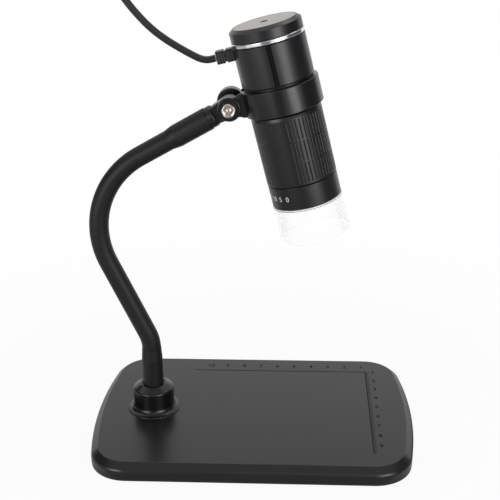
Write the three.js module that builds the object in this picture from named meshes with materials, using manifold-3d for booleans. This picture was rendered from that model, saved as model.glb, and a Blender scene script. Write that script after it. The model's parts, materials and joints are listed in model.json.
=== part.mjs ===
// A USB digital microscope held over a measuring base by a bendable neck.
// Millimetres, +Z up. The origin is on the table, under the middle of the base.
import * as THREE from 'three'
import { mergeVertices } from 'three/addons/utils/BufferGeometryUtils.js'
import Module from 'manifold-3d'

const wasm = await Module()
wasm.setup()

// Clearance between touching pieces, how far a cut runs past its face, and shared counts
const gap = 0.3
const overrun = 2
const degree = Math.PI / 180
const fullTurn = Math.PI * 2
const barrelSides = 32
const neckSides = 16
const turnedSides = 20
const smallSides = 12
const cornerSteps = 3

// Base moulding: ends bowed outwards, round corners, a soft shoulder under a sloping edge
const base = {
  length: 175.7,
  depth: 121,
  bow: 7.3,
  cornerRadius: 20.6,
  top: 9.4,
  rim: 0.3,
  underside: 0.8,
  shoulder: 5,
  shoulderStart: 0.4,
  shoulderInset: 1.2,
  shoulderRise: 0.9,
  slopeInset: 4.3,
  slopeSag: 0.5,
  draft: 0.5,
  wall: 2.2,
  roof: 2.4,
  endSteps: 3,
  cornerSteps: 5,
}
const basePlate = { thickness: 1.6 }
const ballast = { length: 100, depth: 78, offset: 12 }
const foot = { radius: 6, recess: 0.6, insetX: 31, insetY: 23 }
const baseScrew = {
  insetX: 18,
  insetY: 17,
  headRadius: 2.7,
  headRim: 0.3,
  headHeight: 1.4,
  shankRadius: 1.2,
  length: 5,
  driveWidth: 0.7,
  driveDepth: 0.7,
  bossWall: 1.9,
}

// Neck foot: a flared collar round a ferrule that a nut pulls down on the base
const collar = {
  x: -56,
  flangeRadius: 15.1,
  flangeEdge: 0.8,
  radius: 11.25,
  flareRadius: 3,
  cylinderTop: 22,
  rimRounding: 0.7,
  coneRadius: 7.1,
  coneTop: 24.6,
}
const ferrule = { radius: 5.7, top: 46, studRadius: 4, socketDepth: 14 }
const washer = { radius: 8, thickness: 0.8 }
const nut = { cornerRadius: 7.5, height: 2.8 }

// Neck: a smooth sheath on a centreline of two bends and two straights
const neck = {
  radius: 5.15,
  coreRadius: 4.2,
  coreLength: 10,
  lowerBendRadius: 22.8,
  lowerBendAngle: 24.4 * degree,
  middleLength: 45,
  upperBendRadius: 45.9,
  upperBendAngle: 85.2 * degree,
  upperLength: 53.2,
  stepLength: 6,
}
const upperSleeve = { radius: 5.9, start: 35, end: 12.3 }
const eye = { thickness: 6, radius: 5.6, rootHalf: 4.4, bandRadius: 4.7, bandEnd: 8.2, stemLength: 12 }

// Head hinge: two ears of the clamp ring on the neck's eye, a bolt and a thumb nut
const hinge = {
  reach: 26.8,
  earThickness: 3,
  bossRise: 0.8,
  bossRadius: 5.7,
  earRootHalf: 6.2,
}
const bolt = {
  shankRadius: 2,
  headRadius: 3.45,
  headHeight: 2.4,
  headRounding: 0.5,
  socketRadius: 1.7,
  socketDepth: 1.4,
  tail: 0.6,
}
const hingeWasher = { radius: 4.6, thickness: 0.8 }
const thumbNut = { radius: 7.2, height: 7, gripCount: 14, gripDepth: 0.5, rounding: 0.8 }
const clampRing = { wall: 2.5, height: 13.2, chamfer: 0.5 }

// Barrel, measured along its axis from the middle of the clamp ring
const barrel = {
  lean: 13.6 * degree,
  radius: 18.25,
  top: 28.3,
  seatRadius: 17,
  seatHalf: 7.2,
  seatEdge: 0.6,
  wall: 2.45,
  sleeveRadius: 14.5,
  sleeveWall: 1.7,
  sleeveEnd: 48,
  shelf: 5,
  grooveWidth: 2.2,
  grooveDepth: 0.8,
  grooveAzimuth: -89.5 * degree,
}
const topTrim = { radius: 18.45, height: 1.7 }
const topCap = {
  height: 6.4,
  spigotDepth: 4,
  chamferWidth: 2.2,
  chamferHeight: 1.6,
  holeRadius: 1.6,
  holeDepth: 2.6,
}
const indicator = { height: 1.8, rounding: 0.4 }
const focusRing = {
  smoothRadius: 17.85,
  crestRadius: 18.4,
  length: 35.8,
  rim: 1.1,
  rowGap: 0.8,
  rowCount: 3,
  ribRunOut: 0.35,
  edgeChamfer: 0.35,
  panelCount: 2,
  panelAzimuth: -26 * degree,
  ribCount: 20,
  ribPitchAngle: 6.7 * degree,
  smoothSteps: 4,
}
const nose = { radius: 17.9, length: 11.5, edge: 0.4, shelf: 2.7, shelfRadius: 13.6, socketWall: 2.1 }
const noseTrim = { radius: 18.15, height: 1.1 }
const clearCap = {
  collarWall: 1.3,
  collarLength: 3.6,
  topRadius: 17.3,
  endRadius: 18.6,
  length: 20,
  wall: 1.4,
  rimRounding: 0.5,
}
const focusTravel = { up: 3.5, turnAngle: 150 * degree }
const follower = { radius: 1.1, slotSlack: 0.35, grooveDepth: 1.2, engagement: 0.8, stepAngle: 15 * degree }
const lensCarrier = {
  flangeStation: 33,
  flangeLength: 7,
  tubeRadius: 8.2,
  tubeEnd: 52,
  lensSeatRadius: 5.8,
  lensSeatDepth: 4.3,
  apertureRadius: 4.5,
}
const lens = { edge: 1.2, frontBulge: 1, backBulge: 0.5, backInset: 1, zoneShare: 0.5, zoneBulgeShare: 0.75 }
const ledBoard = {
  thickness: 1.2,
  innerRadius: 8.9,
  ledCount: 8,
  ledRadius: 1.3,
  ledHeight: 1.5,
  domeHeight: 0.8,
  ledCircle: 10.9,
}
const sensorBoard = {
  thickness: 1.6,
  sensorWidth: 8,
  sensorHeight: 1.2,
  plugWidth: 9,
  plugDepth: 4,
  plugHeight: 4.5,
  plugOffset: 9,
}

// Cable: out of a ribbed gland, over the top, down beside the stand and into a tied coil
const gland = {
  station: 25.2,
  half: 3,
  cornerRadius: 1.1,
  bevel: 0.4,
  blockLength: 3.7,
  waistLength: 1.2,
  waistHalf: 2.2,
  spigotRadius: 2,
  flangeRadius: 2.9,
  flangeThickness: 1.2,
}
const cable = { radius: 1.8, sides: 8, stepLength: 10 }
const coil = {
  x: -167,
  y: -32,
  outerRadius: 26,
  pitch: 4.15,
  turnCount: 7.25,
  stepsPerTurn: 24,
  sides: 6,
  leadOut: 28,
  climbTurns: 0.5,
  leadSteps: 5,
}
const tie = { thickness: 0.6, width: 4, azimuthShare: 0.5 }
const plug = {
  bodyLength: 22,
  bodyWidth: 15.6,
  bodyHeight: 7.8,
  edgeRadius: 2,
  noseLength: 8,
  noseTipRadius: 2.4,
  noseRadius: 3.4,
  pocketDepth: 2,
  tongueLength: 9.5,
  tongueWidth: 10.4,
  tongueThickness: 1.8,
}
const plugShell = { length: 12, width: 12, height: 4.5, wall: 0.4 }

// Finishes
const finishes = {
  basePlastic: { color: '#2b2a2c', roughness: 0.45, metalness: 0 },
  blackPlastic: { color: '#222224', roughness: 0.35, metalness: 0 },
  blackRubber: { color: '#1d1d1e', roughness: 0.75, metalness: 0 },
  blackMetal: { color: '#232326', roughness: 0.35, metalness: 0.6 },
  chrome: { color: '#d8dadd', roughness: 0.12, metalness: 1 },
  steel: { color: '#9b9c9e', roughness: 0.35, metalness: 1 },
  capPlastic: { color: '#3a3634', roughness: 0.5, metalness: 0 },
  clearPlastic: { color: '#eef2f4', roughness: 0.1, metalness: 0 },
  lensGlass: { color: '#9fb4c4', roughness: 0.05, metalness: 0 },
  boardGreen: { color: '#1f5a3a', roughness: 0.5, metalness: 0 },
}
const materials = Object.fromEntries(
  Object.entries(finishes).map(([name, finish]) => [name, new THREE.MeshStandardMaterial(finish)]),
)

// Solids

// A closed geometry as a solid, with its faces turned outwards
function solidOf(geometry) {
  const bare = new THREE.BufferGeometry()
  bare.setAttribute('position', geometry.getAttribute('position').clone())
  if (geometry.index) bare.setIndex(geometry.index.clone())
  const merged = mergeVertices(bare)
  const places = merged.getAttribute('position').array
  const corners = []
  for (let i = 0; i < merged.index.count; i += 3) {
    const [a, b, c] = [0, 1, 2].map((k) => merged.index.getX(i + k))
    if (a !== b && b !== c && c !== a) corners.push(a, b, c)
  }
  if (signedVolume(places, corners) < 0) corners.reverse()
  return new wasm.Manifold(
    new wasm.Mesh({
      numProp: 3,
      vertProperties: Float32Array.from(places),
      triVerts: Uint32Array.from(corners),
    }),
  )
}

function signedVolume(places, corners) {
  const at = (i) => new THREE.Vector3().fromArray(places, corners[i] * 3)
  let sum = 0
  for (let i = 0; i < corners.length; i += 3) sum += at(i).dot(at(i + 1).cross(at(i + 2)))
  return sum
}

function geometryOf(solid) {
  const mesh = solid.getMesh()
  const geometry = new THREE.BufferGeometry()
  geometry.setAttribute('position', new THREE.BufferAttribute(Float32Array.from(mesh.vertProperties), 3))
  geometry.setIndex([...mesh.triVerts])
  geometry.computeVertexNormals()
  return geometry
}

function piece(name, finish, solid) {
  const mesh = new THREE.Mesh(geometryOf(solid), materials[finish])
  mesh.name = name
  return mesh
}

// A profile of [radius, height] points turned about Z
function turned(profile, sides = barrelSides) {
  const points = profile.map(([radius, height]) => new THREE.Vector2(radius, height))
  return solidOf(new THREE.LatheGeometry(points, sides).rotateX(Math.PI / 2))
}

// A turned ring: the profile closes on itself
const turnedRing = (profile, sides) => turned([...profile, profile[0]], sides)

// Rings of equal count skinned from the first to the last, with both ends capped
function loft(rings) {
  const count = rings[0].length
  const places = rings.flat().flatMap((point) => point.toArray())
  const corners = []
  for (let ring = 0; ring < rings.length - 1; ring += 1) {
    for (let i = 0; i < count; i += 1) {
      const a = ring * count + i
      const b = ring * count + ((i + 1) % count)
      corners.push(a, b, b + count, a, b + count, a + count)
    }
  }
  const last = (rings.length - 1) * count
  for (const [a, b, c] of capOf(rings[0])) corners.push(a, c, b)
  for (const [a, b, c] of capOf(rings.at(-1))) corners.push(last + a, last + b, last + c)
  const geometry = new THREE.BufferGeometry()
  geometry.setAttribute('position', new THREE.Float32BufferAttribute(places, 3))
  geometry.setIndex(corners)
  return solidOf(geometry)
}

// Triangles across a flat ring of points, in the ring's own turning sense
function capOf(ring) {
  const middle = ring.reduce((sum, point) => sum.add(point), new THREE.Vector3()).divideScalar(ring.length)
  const normal = new THREE.Vector3()
  ring.forEach((point, i) => {
    const next = ring[(i + 1) % ring.length]
    normal.add(point.clone().sub(middle).cross(next.clone().sub(middle)))
  })
  const turn = new THREE.Quaternion().setFromUnitVectors(normal.normalize(), new THREE.Vector3(0, 0, 1))
  const flat = ring.map((point) => {
    const turnedPoint = point.clone().sub(middle).applyQuaternion(turn)
    return new THREE.Vector2(turnedPoint.x, turnedPoint.y)
  })
  return THREE.ShapeUtils.triangulateShape(flat, [])
}

// A shape in X and Y pushed up from a height, or a shape in X and Z pushed both ways along Y
const extruded = (shape, depth, curveSegments) =>
  new THREE.ExtrudeGeometry(shape, { depth, curveSegments, bevelEnabled: false })
const upright = (shape, height, from = 0) =>
  solidOf(extruded(shape, height, cornerSteps).translate(0, 0, from))
const slab = (shape, thickness, curveSegments) =>
  solidOf(extruded(shape, thickness, curveSegments).rotateX(Math.PI / 2).translate(0, thickness / 2, 0))
const box = (x, y, z, centre = [0, 0, 0]) => solidOf(new THREE.BoxGeometry(x, y, z).translate(...centre))
const rod = (radius, from, to, sides = smallSides) =>
  turned(
    [
      [0, from],
      [radius, from],
      [radius, to],
      [0, to],
    ],
    sides,
  )
const ball = (radius, centre) =>
  solidOf(new THREE.SphereGeometry(radius, neckSides, neckSides / 2).translate(centre.x, centre.y, centre.z))

// A solid turned by an angle about one axis, and moved
function moved(solid, place = [0, 0, 0], axis = [0, 0, 1], angle = 0) {
  const matrix = new THREE.Matrix4()
    .makeRotationAxis(new THREE.Vector3(...axis), angle)
    .setPosition(...place)
  return solidOf(geometryOf(solid).applyMatrix4(matrix))
}

// Points on an arc, ends included
function arc(centreX, centreY, radius, from, to, steps) {
  return Array.from({ length: steps + 1 }, (_, i) => {
    const angle = from + ((to - from) * i) / steps
    return [centreX + radius * Math.cos(angle), centreY + radius * Math.sin(angle)]
  })
}

function roundedRectangle(width, height, radius) {
  const [x, y] = [width / 2 - radius, height / 2 - radius]
  const quarter = Math.PI / 2
  return new THREE.Shape()
    .absarc(x, y, radius, 0, quarter)
    .absarc(-x, y, radius, quarter, 2 * quarter)
    .absarc(-x, -y, radius, 2 * quarter, 3 * quarter)
    .absarc(x, -y, radius, 3 * quarter, 4 * quarter)
}

function tube(path, radius, sides, steps) {
  const ring = arc(0, 0, radius, 0, fullTurn, sides).slice(0, sides)
  const section = new THREE.Shape(ring.map(([x, y]) => new THREE.Vector2(x, y)))
  return solidOf(new THREE.ExtrudeGeometry(section, { steps, extrudePath: path, bevelEnabled: false }))
}

// Base outline, drawn inwards by an inset: every arc keeps its centre
function baseOutline(inset, height) {
  const half = base.depth / 2
  const endRadius = (half ** 2 + base.bow ** 2) / (2 * base.bow)
  const endX = base.length / 2 - endRadius
  const cornerY = half - base.cornerRadius
  const cornerX = endX + Math.sqrt((endRadius - base.cornerRadius) ** 2 - cornerY ** 2)
  const meet = Math.atan2(cornerY, cornerX - endX)
  const quarter = [
    ...arc(endX, 0, endRadius - inset, 0, meet, base.endSteps).slice(0, -1),
    ...arc(cornerX, cornerY, base.cornerRadius - inset, meet, Math.PI / 2, base.cornerSteps),
  ]
  const right = [...quarter.slice(1).reverse().map(([x, y]) => [x, -y]), ...quarter]
  const left = right.map(([x, y]) => [-x, -y])
  return [...right, ...left].map(([x, y]) => new THREE.Vector3(x, y, height))
}

const cornerPlaces = (insetX, insetY) => {
  const [x, y] = [base.length / 2 - insetX, base.depth / 2 - insetY]
  return [
    [x, -y],
    [x, y],
    [-x, y],
    [-x, -y],
  ]
}
const screwPlaces = cornerPlaces(baseScrew.insetX, baseScrew.insetY)
const footPlaces = cornerPlaces(foot.insetX, foot.insetY)
const plateTop = base.underside + basePlate.thickness
const roofUnder = base.top - base.roof

function baseTopShell() {
  const outer = loft([
    baseOutline(base.draft, base.rim),
    baseOutline(0, base.rim + base.shoulderRise),
    baseOutline(0, base.shoulder - base.shoulderRise),
    baseOutline(base.shoulderStart, base.shoulder),
    baseOutline(base.shoulderInset, base.shoulder + base.shoulderRise),
    baseOutline(base.slopeInset - base.slopeSag, base.top - base.slopeSag),
    baseOutline(base.slopeInset, base.top),
  ])
  const inner = loft([
    baseOutline(base.wall + base.draft, base.underside - overrun),
    baseOutline(base.wall + base.draft, base.shoulder),
    baseOutline(base.wall + base.slopeInset, roofUnder),
  ])
  const bossRadius = baseScrew.shankRadius + gap + baseScrew.bossWall
  let shell = outer.subtract(inner)
  for (const [x, y] of screwPlaces) {
    shell = shell.add(moved(rod(bossRadius, plateTop + gap, roofUnder + base.roof / 2), [x, y, 0]))
  }
  for (const [x, y] of screwPlaces) {
    shell = shell.subtract(moved(rod(baseScrew.shankRadius + gap, plateTop, roofUnder), [x, y, 0]))
  }
  const studHole = rod(ferrule.studRadius + gap, roofUnder - overrun, base.top + overrun)
  return shell.subtract(moved(studHole, [collar.x, 0, 0]))
}

function baseBottomPlate() {
  const inset = base.wall + base.draft + gap
  let plate = loft([baseOutline(inset, base.underside), baseOutline(inset, plateTop)])
  for (const [x, y] of screwPlaces) plate = plate.subtract(moved(screwSolid(gap), [x, y, 0]))
  for (const [x, y] of footPlaces) {
    const recess = rod(foot.radius + gap, base.underside - overrun, base.underside + foot.recess, neckSides)
    plate = plate.subtract(moved(recess, [x, y, 0]))
  }
  return plate
}

// A countersunk screw, or with a clearance the hole that it leaves
function screwSolid(clearance) {
  const low = base.underside + (clearance ? -overrun : gap / 2)
  const rim = base.underside + gap / 2 + baseScrew.headRim
  const top = base.underside + baseScrew.length + clearance
  return turned(
    [
      [0, low],
      [baseScrew.headRadius + clearance, low],
      [baseScrew.headRadius + clearance, rim],
      [baseScrew.shankRadius + clearance, rim + baseScrew.headHeight - baseScrew.headRim],
      [baseScrew.shankRadius + clearance, top],
      [0, top],
    ],
    smallSides,
  )
}

function baseScrewSolid() {
  const depth = baseScrew.driveDepth + gap
  const middle = [0, 0, base.underside + (baseScrew.driveDepth - gap) / 2]
  const bar = box(baseScrew.headRadius, baseScrew.driveWidth, depth, middle)
  const cross = bar.add(box(baseScrew.driveWidth, baseScrew.headRadius, depth, middle))
  return screwSolid(0).subtract(cross)
}

const ballastPlate = () =>
  upright(
    roundedRectangle(ballast.length, ballast.depth, foot.radius),
    roofUnder - plateTop - 2 * gap,
    plateTop + gap,
  )
const rubberFoot = () => rod(foot.radius, 0, base.underside + foot.recess - gap, neckSides)

// Neck foot
function neckCollar() {
  const floor = base.top + gap
  const bore = ferrule.radius + gap
  const flare = arc(
    collar.radius + collar.flareRadius,
    floor + collar.flangeEdge + collar.flareRadius,
    collar.flareRadius,
    -Math.PI / 2,
    -Math.PI,
    cornerSteps + 1,
  )
  return turnedRing([
    [bore, floor],
    [collar.flangeRadius, floor],
    [collar.flangeRadius, floor + collar.flangeEdge / 2],
    ...flare,
    [collar.radius, collar.cylinderTop - collar.rimRounding],
    [collar.radius - collar.rimRounding, collar.cylinderTop],
    [collar.coneRadius, collar.coneTop],
    [bore, collar.coneTop],
  ])
}

const ferruleSolid = () =>
  turned(
    [
      [0, plateTop + gap],
      [ferrule.studRadius, plateTop + gap],
      [ferrule.studRadius, base.top + gap],
      [ferrule.radius, base.top + gap],
      [ferrule.radius, ferrule.top],
      [neck.coreRadius + gap, ferrule.top],
      [neck.coreRadius + gap, ferrule.top - ferrule.socketDepth],
      [0, ferrule.top - ferrule.socketDepth],
    ],
    turnedSides,
  )

function ringPlate(inner, outer, from, to, sides = turnedSides) {
  return turnedRing(
    [
      [inner, from],
      [outer, from],
      [outer, to],
      [inner, to],
    ],
    sides,
  )
}

const collarWasher = () =>
  ringPlate(ferrule.studRadius + gap, washer.radius, roofUnder - gap - washer.thickness, roofUnder - gap)
function collarNut() {
  const top = roofUnder - 2 * gap - washer.thickness
  const hole = rod(ferrule.studRadius + gap, top - nut.height - overrun, top + overrun)
  return rod(nut.cornerRadius, top - nut.height, top, 6).subtract(hole)
}

// Neck centreline: place and heading at a distance along it from the ferrule's top
const neckStretches = [
  { length: neck.lowerBendRadius * neck.lowerBendAngle, turn: -neck.lowerBendAngle },
  { length: neck.middleLength, turn: 0 },
  { length: neck.upperBendRadius * neck.upperBendAngle, turn: neck.upperBendAngle },
  { length: neck.upperLength, turn: 0 },
]
const neckLength = neckStretches.reduce((sum, stretch) => sum + stretch.length, 0)

function neckAt(distance) {
  let [x, z, heading, left] = [collar.x, ferrule.top, 0, distance]
  for (const { length, turn } of neckStretches) {
    const run = Math.min(left, length)
    const bend = (turn * run) / length
    const chord = bend ? (run * Math.sin(bend / 2)) / (bend / 2) : run
    x += chord * Math.sin(heading + bend / 2)
    z += chord * Math.cos(heading + bend / 2)
    heading += bend
    left -= run
  }
  return { point: new THREE.Vector3(x, 0, z), heading }
}

class NeckPath extends THREE.Curve {
  constructor(from, to) {
    super()
    Object.assign(this, { from, to })
  }

  getPoint(t) {
    return neckAt(this.from + (this.to - this.from) * t).point
  }
}

// A stretch of neck: a ball where it ends on a bend centre, a cup where it starts on one
function neckStretch(from, to, ends) {
  const steps = Math.ceil((to - from) / neck.stepLength)
  let solid = tube(new NeckPath(from, to), neck.radius, neckSides, steps)
  if (ends.cup) solid = solid.subtract(ball(neck.radius + gap, neckAt(from).point))
  if (ends.ball) solid = solid.add(ball(neck.radius, neckAt(to).point))
  return solid
}

const sleeveStart = neckLength - upperSleeve.start
const upperBendMiddle =
  neckStretches[0].length + neckStretches[1].length + neckStretches[2].length / 2
const bendPlaces = [neckStretches[0].length, neckStretches[0].length + neck.middleLength / 2, upperBendMiddle]

function neckRoot() {
  const core = moved(rod(neck.coreRadius, -neck.coreLength, neck.radius), neckAt(0).point.toArray())
  return neckStretch(gap, bendPlaces[0], { ball: true }).add(core)
}

function neckUpper() {
  const end = neckAt(sleeveStart - gap)
  const core = moved(
    rod(neck.coreRadius, -neck.radius, neck.coreLength),
    end.point.toArray(),
    [0, 1, 0],
    end.heading,
  )
  return neckStretch(bendPlaces[2], sleeveStart - gap, { cup: true }).add(core)
}

// Neck end, drawn along +Z with the hinge axis through the origin along Y
const pivot = neckAt(neckLength)
const neckSleeve = () =>
  ringPlate(neck.coreRadius + gap, upperSleeve.radius, -upperSleeve.start, -upperSleeve.end, turnedSides)

function neckEye() {
  const stemStart = -upperSleeve.end - eye.stemLength
  const stem = rod(neck.coreRadius, stemStart, -upperSleeve.end, neckSides)
  const band = rod(eye.bandRadius, -upperSleeve.end + gap, -eye.bandEnd, turnedSides)
  const outline = new THREE.Shape()
  outline.moveTo(-eye.rootHalf, -eye.bandEnd - gap)
  outline.lineTo(eye.rootHalf, -eye.bandEnd - gap)
  outline.lineTo(eye.radius, 0)
  outline.absarc(0, 0, eye.radius, 0, Math.PI)
  const tongue = slab(outline, eye.thickness, neckSides / 2)
  const link = rod(neck.coreRadius, -upperSleeve.end - gap, -upperSleeve.end + 2 * gap, neckSides)
  const hole = alongY(rod(bolt.shankRadius + gap, -eye.thickness, eye.thickness))
  return stem.add(link).add(band).add(tongue).subtract(hole)
}

// A solid drawn along Z, laid along Y
const alongY = (solid, y = 0) => moved(solid, [0, y, 0], [1, 0, 0], -Math.PI / 2)

// Clamp ring with its two ears, in the barrel's frame; the hinge axis is on its -X side
const earInner = eye.thickness / 2 + gap
const earOuter = earInner + hinge.earThickness
const bossOuter = earOuter + hinge.bossRise

function clampRingSolid() {
  const inner = barrel.seatRadius + gap
  const outer = inner + clampRing.wall
  const half = clampRing.height / 2
  const ring = turnedRing([
    [inner, -half],
    [outer - clampRing.chamfer, -half],
    [outer, clampRing.chamfer - half],
    [outer, half - clampRing.chamfer],
    [outer - clampRing.chamfer, half],
    [inner, half],
  ])
  const ears = new THREE.Shape()
  ears.moveTo(-inner, -hinge.earRootHalf)
  ears.lineTo(-inner, hinge.earRootHalf)
  ears.lineTo(-hinge.reach, hinge.bossRadius - gap)
  ears.absarc(-hinge.reach, 0, hinge.bossRadius - gap, Math.PI / 2, (3 * Math.PI) / 2)
  const boss = moved(alongY(rod(hinge.bossRadius, -bossOuter, bossOuter, turnedSides)), [-hinge.reach, 0, 0])
  const slotLength = hinge.reach + hinge.bossRadius
  const slotMiddle = [-inner - slotLength / 2 + overrun, 0, 0]
  const slot = box(slotLength, 2 * earInner, clampRing.height + overrun, slotMiddle)
  const hole = moved(alongY(rod(bolt.shankRadius + gap, -bossOuter - overrun, bossOuter + overrun)), [
    -hinge.reach,
    0,
    0,
  ])
  const inside = rod(inner + clampRing.wall / 2, -half, half, barrelSides)
  return ring
    .add(slab(ears, 2 * earOuter, neckSides / 2).subtract(inside))
    .add(boss)
    .subtract(slot)
    .subtract(hole)
}

// Hinge hardware, drawn along +Z from the front boss to the thumb nut, then laid along Y
const washerPlace = bossOuter + gap
const thumbNutPlace = washerPlace + hingeWasher.thickness + gap

function hingeBolt() {
  const seat = -bossOuter - gap
  const face = seat - bolt.headHeight
  const solid = turned(
    [
      [0, face],
      [bolt.headRadius - bolt.headRounding, face],
      [bolt.headRadius, face + bolt.headRounding],
      [bolt.headRadius, seat],
      [bolt.shankRadius, seat],
      [bolt.shankRadius, thumbNutPlace + thumbNut.height + bolt.tail],
      [0, thumbNutPlace + thumbNut.height + bolt.tail],
    ],
    turnedSides,
  )
  return alongY(solid.subtract(rod(bolt.socketRadius, face - overrun, face + bolt.socketDepth, 6)))
}

const hingeWasherSolid = () =>
  alongY(
    ringPlate(bolt.shankRadius + gap, hingeWasher.radius, washerPlace, washerPlace + hingeWasher.thickness),
  )

function thumbNutSolid() {
  const ring = (height, inset) =>
    Array.from({ length: thumbNut.gripCount * 2 }, (_, i) => {
      const angle = (fullTurn * i) / (thumbNut.gripCount * 2)
      const radius = thumbNut.radius - inset - (i % 2 ? thumbNut.gripDepth : 0)
      return new THREE.Vector3(radius * Math.cos(angle), radius * Math.sin(angle), height)
    })
  const top = thumbNutPlace + thumbNut.height
  const grip = loft([
    ring(thumbNutPlace, thumbNut.rounding),
    ring(thumbNutPlace + thumbNut.rounding, 0),
    ring(top - thumbNut.rounding, 0),
    ring(top, thumbNut.rounding),
  ])
  return alongY(grip.subtract(rod(bolt.shankRadius + gap, thumbNutPlace - overrun, top + overrun)))
}

// Barrel pieces, all in the barrel's frame, with heights from the middle of the clamp ring
const focusTop = -barrel.seatHalf - gap
const focusEnd = focusTop - focusRing.length
const noseTop = focusEnd - gap
const noseEnd = noseTop - nose.length
const shelfEnd = -barrel.sleeveEnd - gap - nose.shelf
const noseSocket = nose.radius - nose.socketWall
const trimEnd = noseEnd - gap - noseTrim.height
const ledBoardTop = shelfEnd - gap
const slotHalf = follower.radius + follower.slotSlack
const flangeMiddle = -lensCarrier.flangeStation
const pinAzimuth = Math.PI / 2

function barrelHousing() {
  const bore = barrel.radius - barrel.wall
  const shoulder = barrel.sleeveRadius - barrel.sleeveWall
  const shell = turnedRing([
    [shoulder, -barrel.sleeveEnd],
    [barrel.sleeveRadius, -barrel.sleeveEnd],
    [barrel.sleeveRadius, -barrel.seatHalf],
    [barrel.seatRadius, -barrel.seatHalf],
    [barrel.seatRadius, barrel.seatHalf],
    [barrel.radius, barrel.seatHalf + barrel.seatEdge],
    [barrel.radius, barrel.top],
    [bore, barrel.top],
    [bore, -barrel.shelf],
    [shoulder, -barrel.shelf],
  ])
  const grooveLength = barrel.top - barrel.seatHalf
  const groove = moved(
    box(barrel.grooveDepth * 2, barrel.grooveWidth, grooveLength + overrun, [
      barrel.radius,
      0,
      barrel.seatHalf + (grooveLength + overrun) / 2,
    ]),
    [0, 0, 0],
    [0, 0, 1],
    barrel.grooveAzimuth,
  )
  const slot = box(2 * slotHalf, barrel.sleeveRadius, 2 * (slotHalf + focusTravel.up), [
    0,
    barrel.sleeveRadius,
    flangeMiddle,
  ])
  const drill = rod(gland.spigotRadius + gap, bore - overrun, barrel.radius + overrun)
  const cableHole = alongMinusX(drill, gland.station)
  return shell.subtract(groove).subtract(slot).subtract(cableHole)
}

// A solid drawn along Z, laid along -X at a height
const alongMinusX = (solid, height) => moved(solid, [0, 0, height], [0, 1, 0], -Math.PI / 2)

const trimLow = barrel.top + gap
const capLow = trimLow + topTrim.height + gap
const capTop = capLow + topCap.height
const capBore = barrel.radius - barrel.wall - gap
const topTrimRing = () =>
  ringPlate(capBore + gap, topTrim.radius, trimLow, trimLow + topTrim.height, barrelSides)

function topCapSolid() {
  const disc = turned([
    [0, trimLow - topCap.spigotDepth],
    [capBore, trimLow - topCap.spigotDepth],
    [capBore, capLow],
    [barrel.radius, capLow],
    [barrel.radius, capTop - topCap.chamferHeight],
    [barrel.radius - topCap.chamferWidth, capTop],
    [topCap.holeRadius, capTop],
    [topCap.holeRadius, capTop - topCap.holeDepth],
    [0, capTop - topCap.holeDepth],
  ])
  const notchDepth = gland.flangeThickness + 2 * gap
  const notch = rod(gland.flangeRadius + gap, capBore - notchDepth, capBore + overrun)
  return disc.subtract(alongMinusX(notch, gland.station))
}

function indicatorLens() {
  const low = capTop - topCap.holeDepth + gap
  const radius = topCap.holeRadius - gap
  return turned(
    [
      [0, low],
      [radius, low],
      [radius, low + indicator.height - indicator.rounding],
      [radius - indicator.rounding, low + indicator.height],
      [0, low + indicator.height],
    ],
    smallSides,
  )
}

// Focus ring: ribbed panels in rows outside, a helical groove for the follower pin inside
function focusRingSolid() {
  const panelAngle = fullTurn / focusRing.panelCount
  const ribbedAngle = focusRing.ribCount * focusRing.ribPitchAngle
  const smoothAngle = (panelAngle - ribbedAngle) / focusRing.smoothSteps
  const places = []
  for (let panel = 0; panel < focusRing.panelCount; panel += 1) {
    const first = focusRing.panelAzimuth + panel * panelAngle - ribbedAngle / 2
    for (let rib = 0; rib < focusRing.ribCount; rib += 1) {
      const start = first + rib * focusRing.ribPitchAngle
      places.push({ angle: start, crest: false })
      places.push({ angle: start + focusRing.ribPitchAngle / 2, crest: true })
    }
    for (let step = 0; step < focusRing.smoothSteps; step += 1) {
      places.push({ angle: first + ribbedAngle + step * smoothAngle, crest: false })
    }
  }
  const ring = (height, ribbed, inset = 0) =>
    places.map(({ angle, crest }) => {
      const radius = (ribbed && crest ? focusRing.crestRadius : focusRing.smoothRadius) - inset
      return new THREE.Vector3(radius * Math.cos(angle), radius * Math.sin(angle), height)
    })
  const rowPitch = (focusRing.length - 2 * focusRing.rim + focusRing.rowGap) / focusRing.rowCount
  const rings = [ring(focusEnd, false, focusRing.edgeChamfer)]
  for (let row = 0; row < focusRing.rowCount; row += 1) {
    const low = focusEnd + focusRing.rim + row * rowPitch
    const high = low + rowPitch - focusRing.rowGap
    rings.push(ring(low, false), ring(low + focusRing.ribRunOut, true))
    rings.push(ring(high - focusRing.ribRunOut, true), ring(high, false))
  }
  rings.push(ring(focusTop, false, focusRing.edgeChamfer))
  const bore = rod(barrel.sleeveRadius + gap, focusEnd - overrun, focusTop + overrun, barrelSides)
  return loft(rings).subtract(bore).subtract(helicalGroove())
}

function helicalGroove() {
  const reach = focusTravel.turnAngle + slotHalf / barrel.sleeveRadius
  const steps = Math.ceil((2 * reach) / follower.stepAngle)
  const low = barrel.sleeveRadius - gap
  const high = barrel.sleeveRadius + gap + follower.grooveDepth
  const rise = focusTravel.up / focusTravel.turnAngle
  const rings = Array.from({ length: steps + 1 }, (_, i) => {
    const turn = -reach + (2 * reach * i) / steps
    const height = flangeMiddle - rise * turn
    const [c, s] = [Math.cos(pinAzimuth + turn), Math.sin(pinAzimuth + turn)]
    return [
      [low, -slotHalf],
      [high, -slotHalf],
      [high, slotHalf],
      [low, slotHalf],
    ].map(([radius, offset]) => new THREE.Vector3(radius * c, radius * s, height + offset))
  })
  return loft(rings)
}

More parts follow.
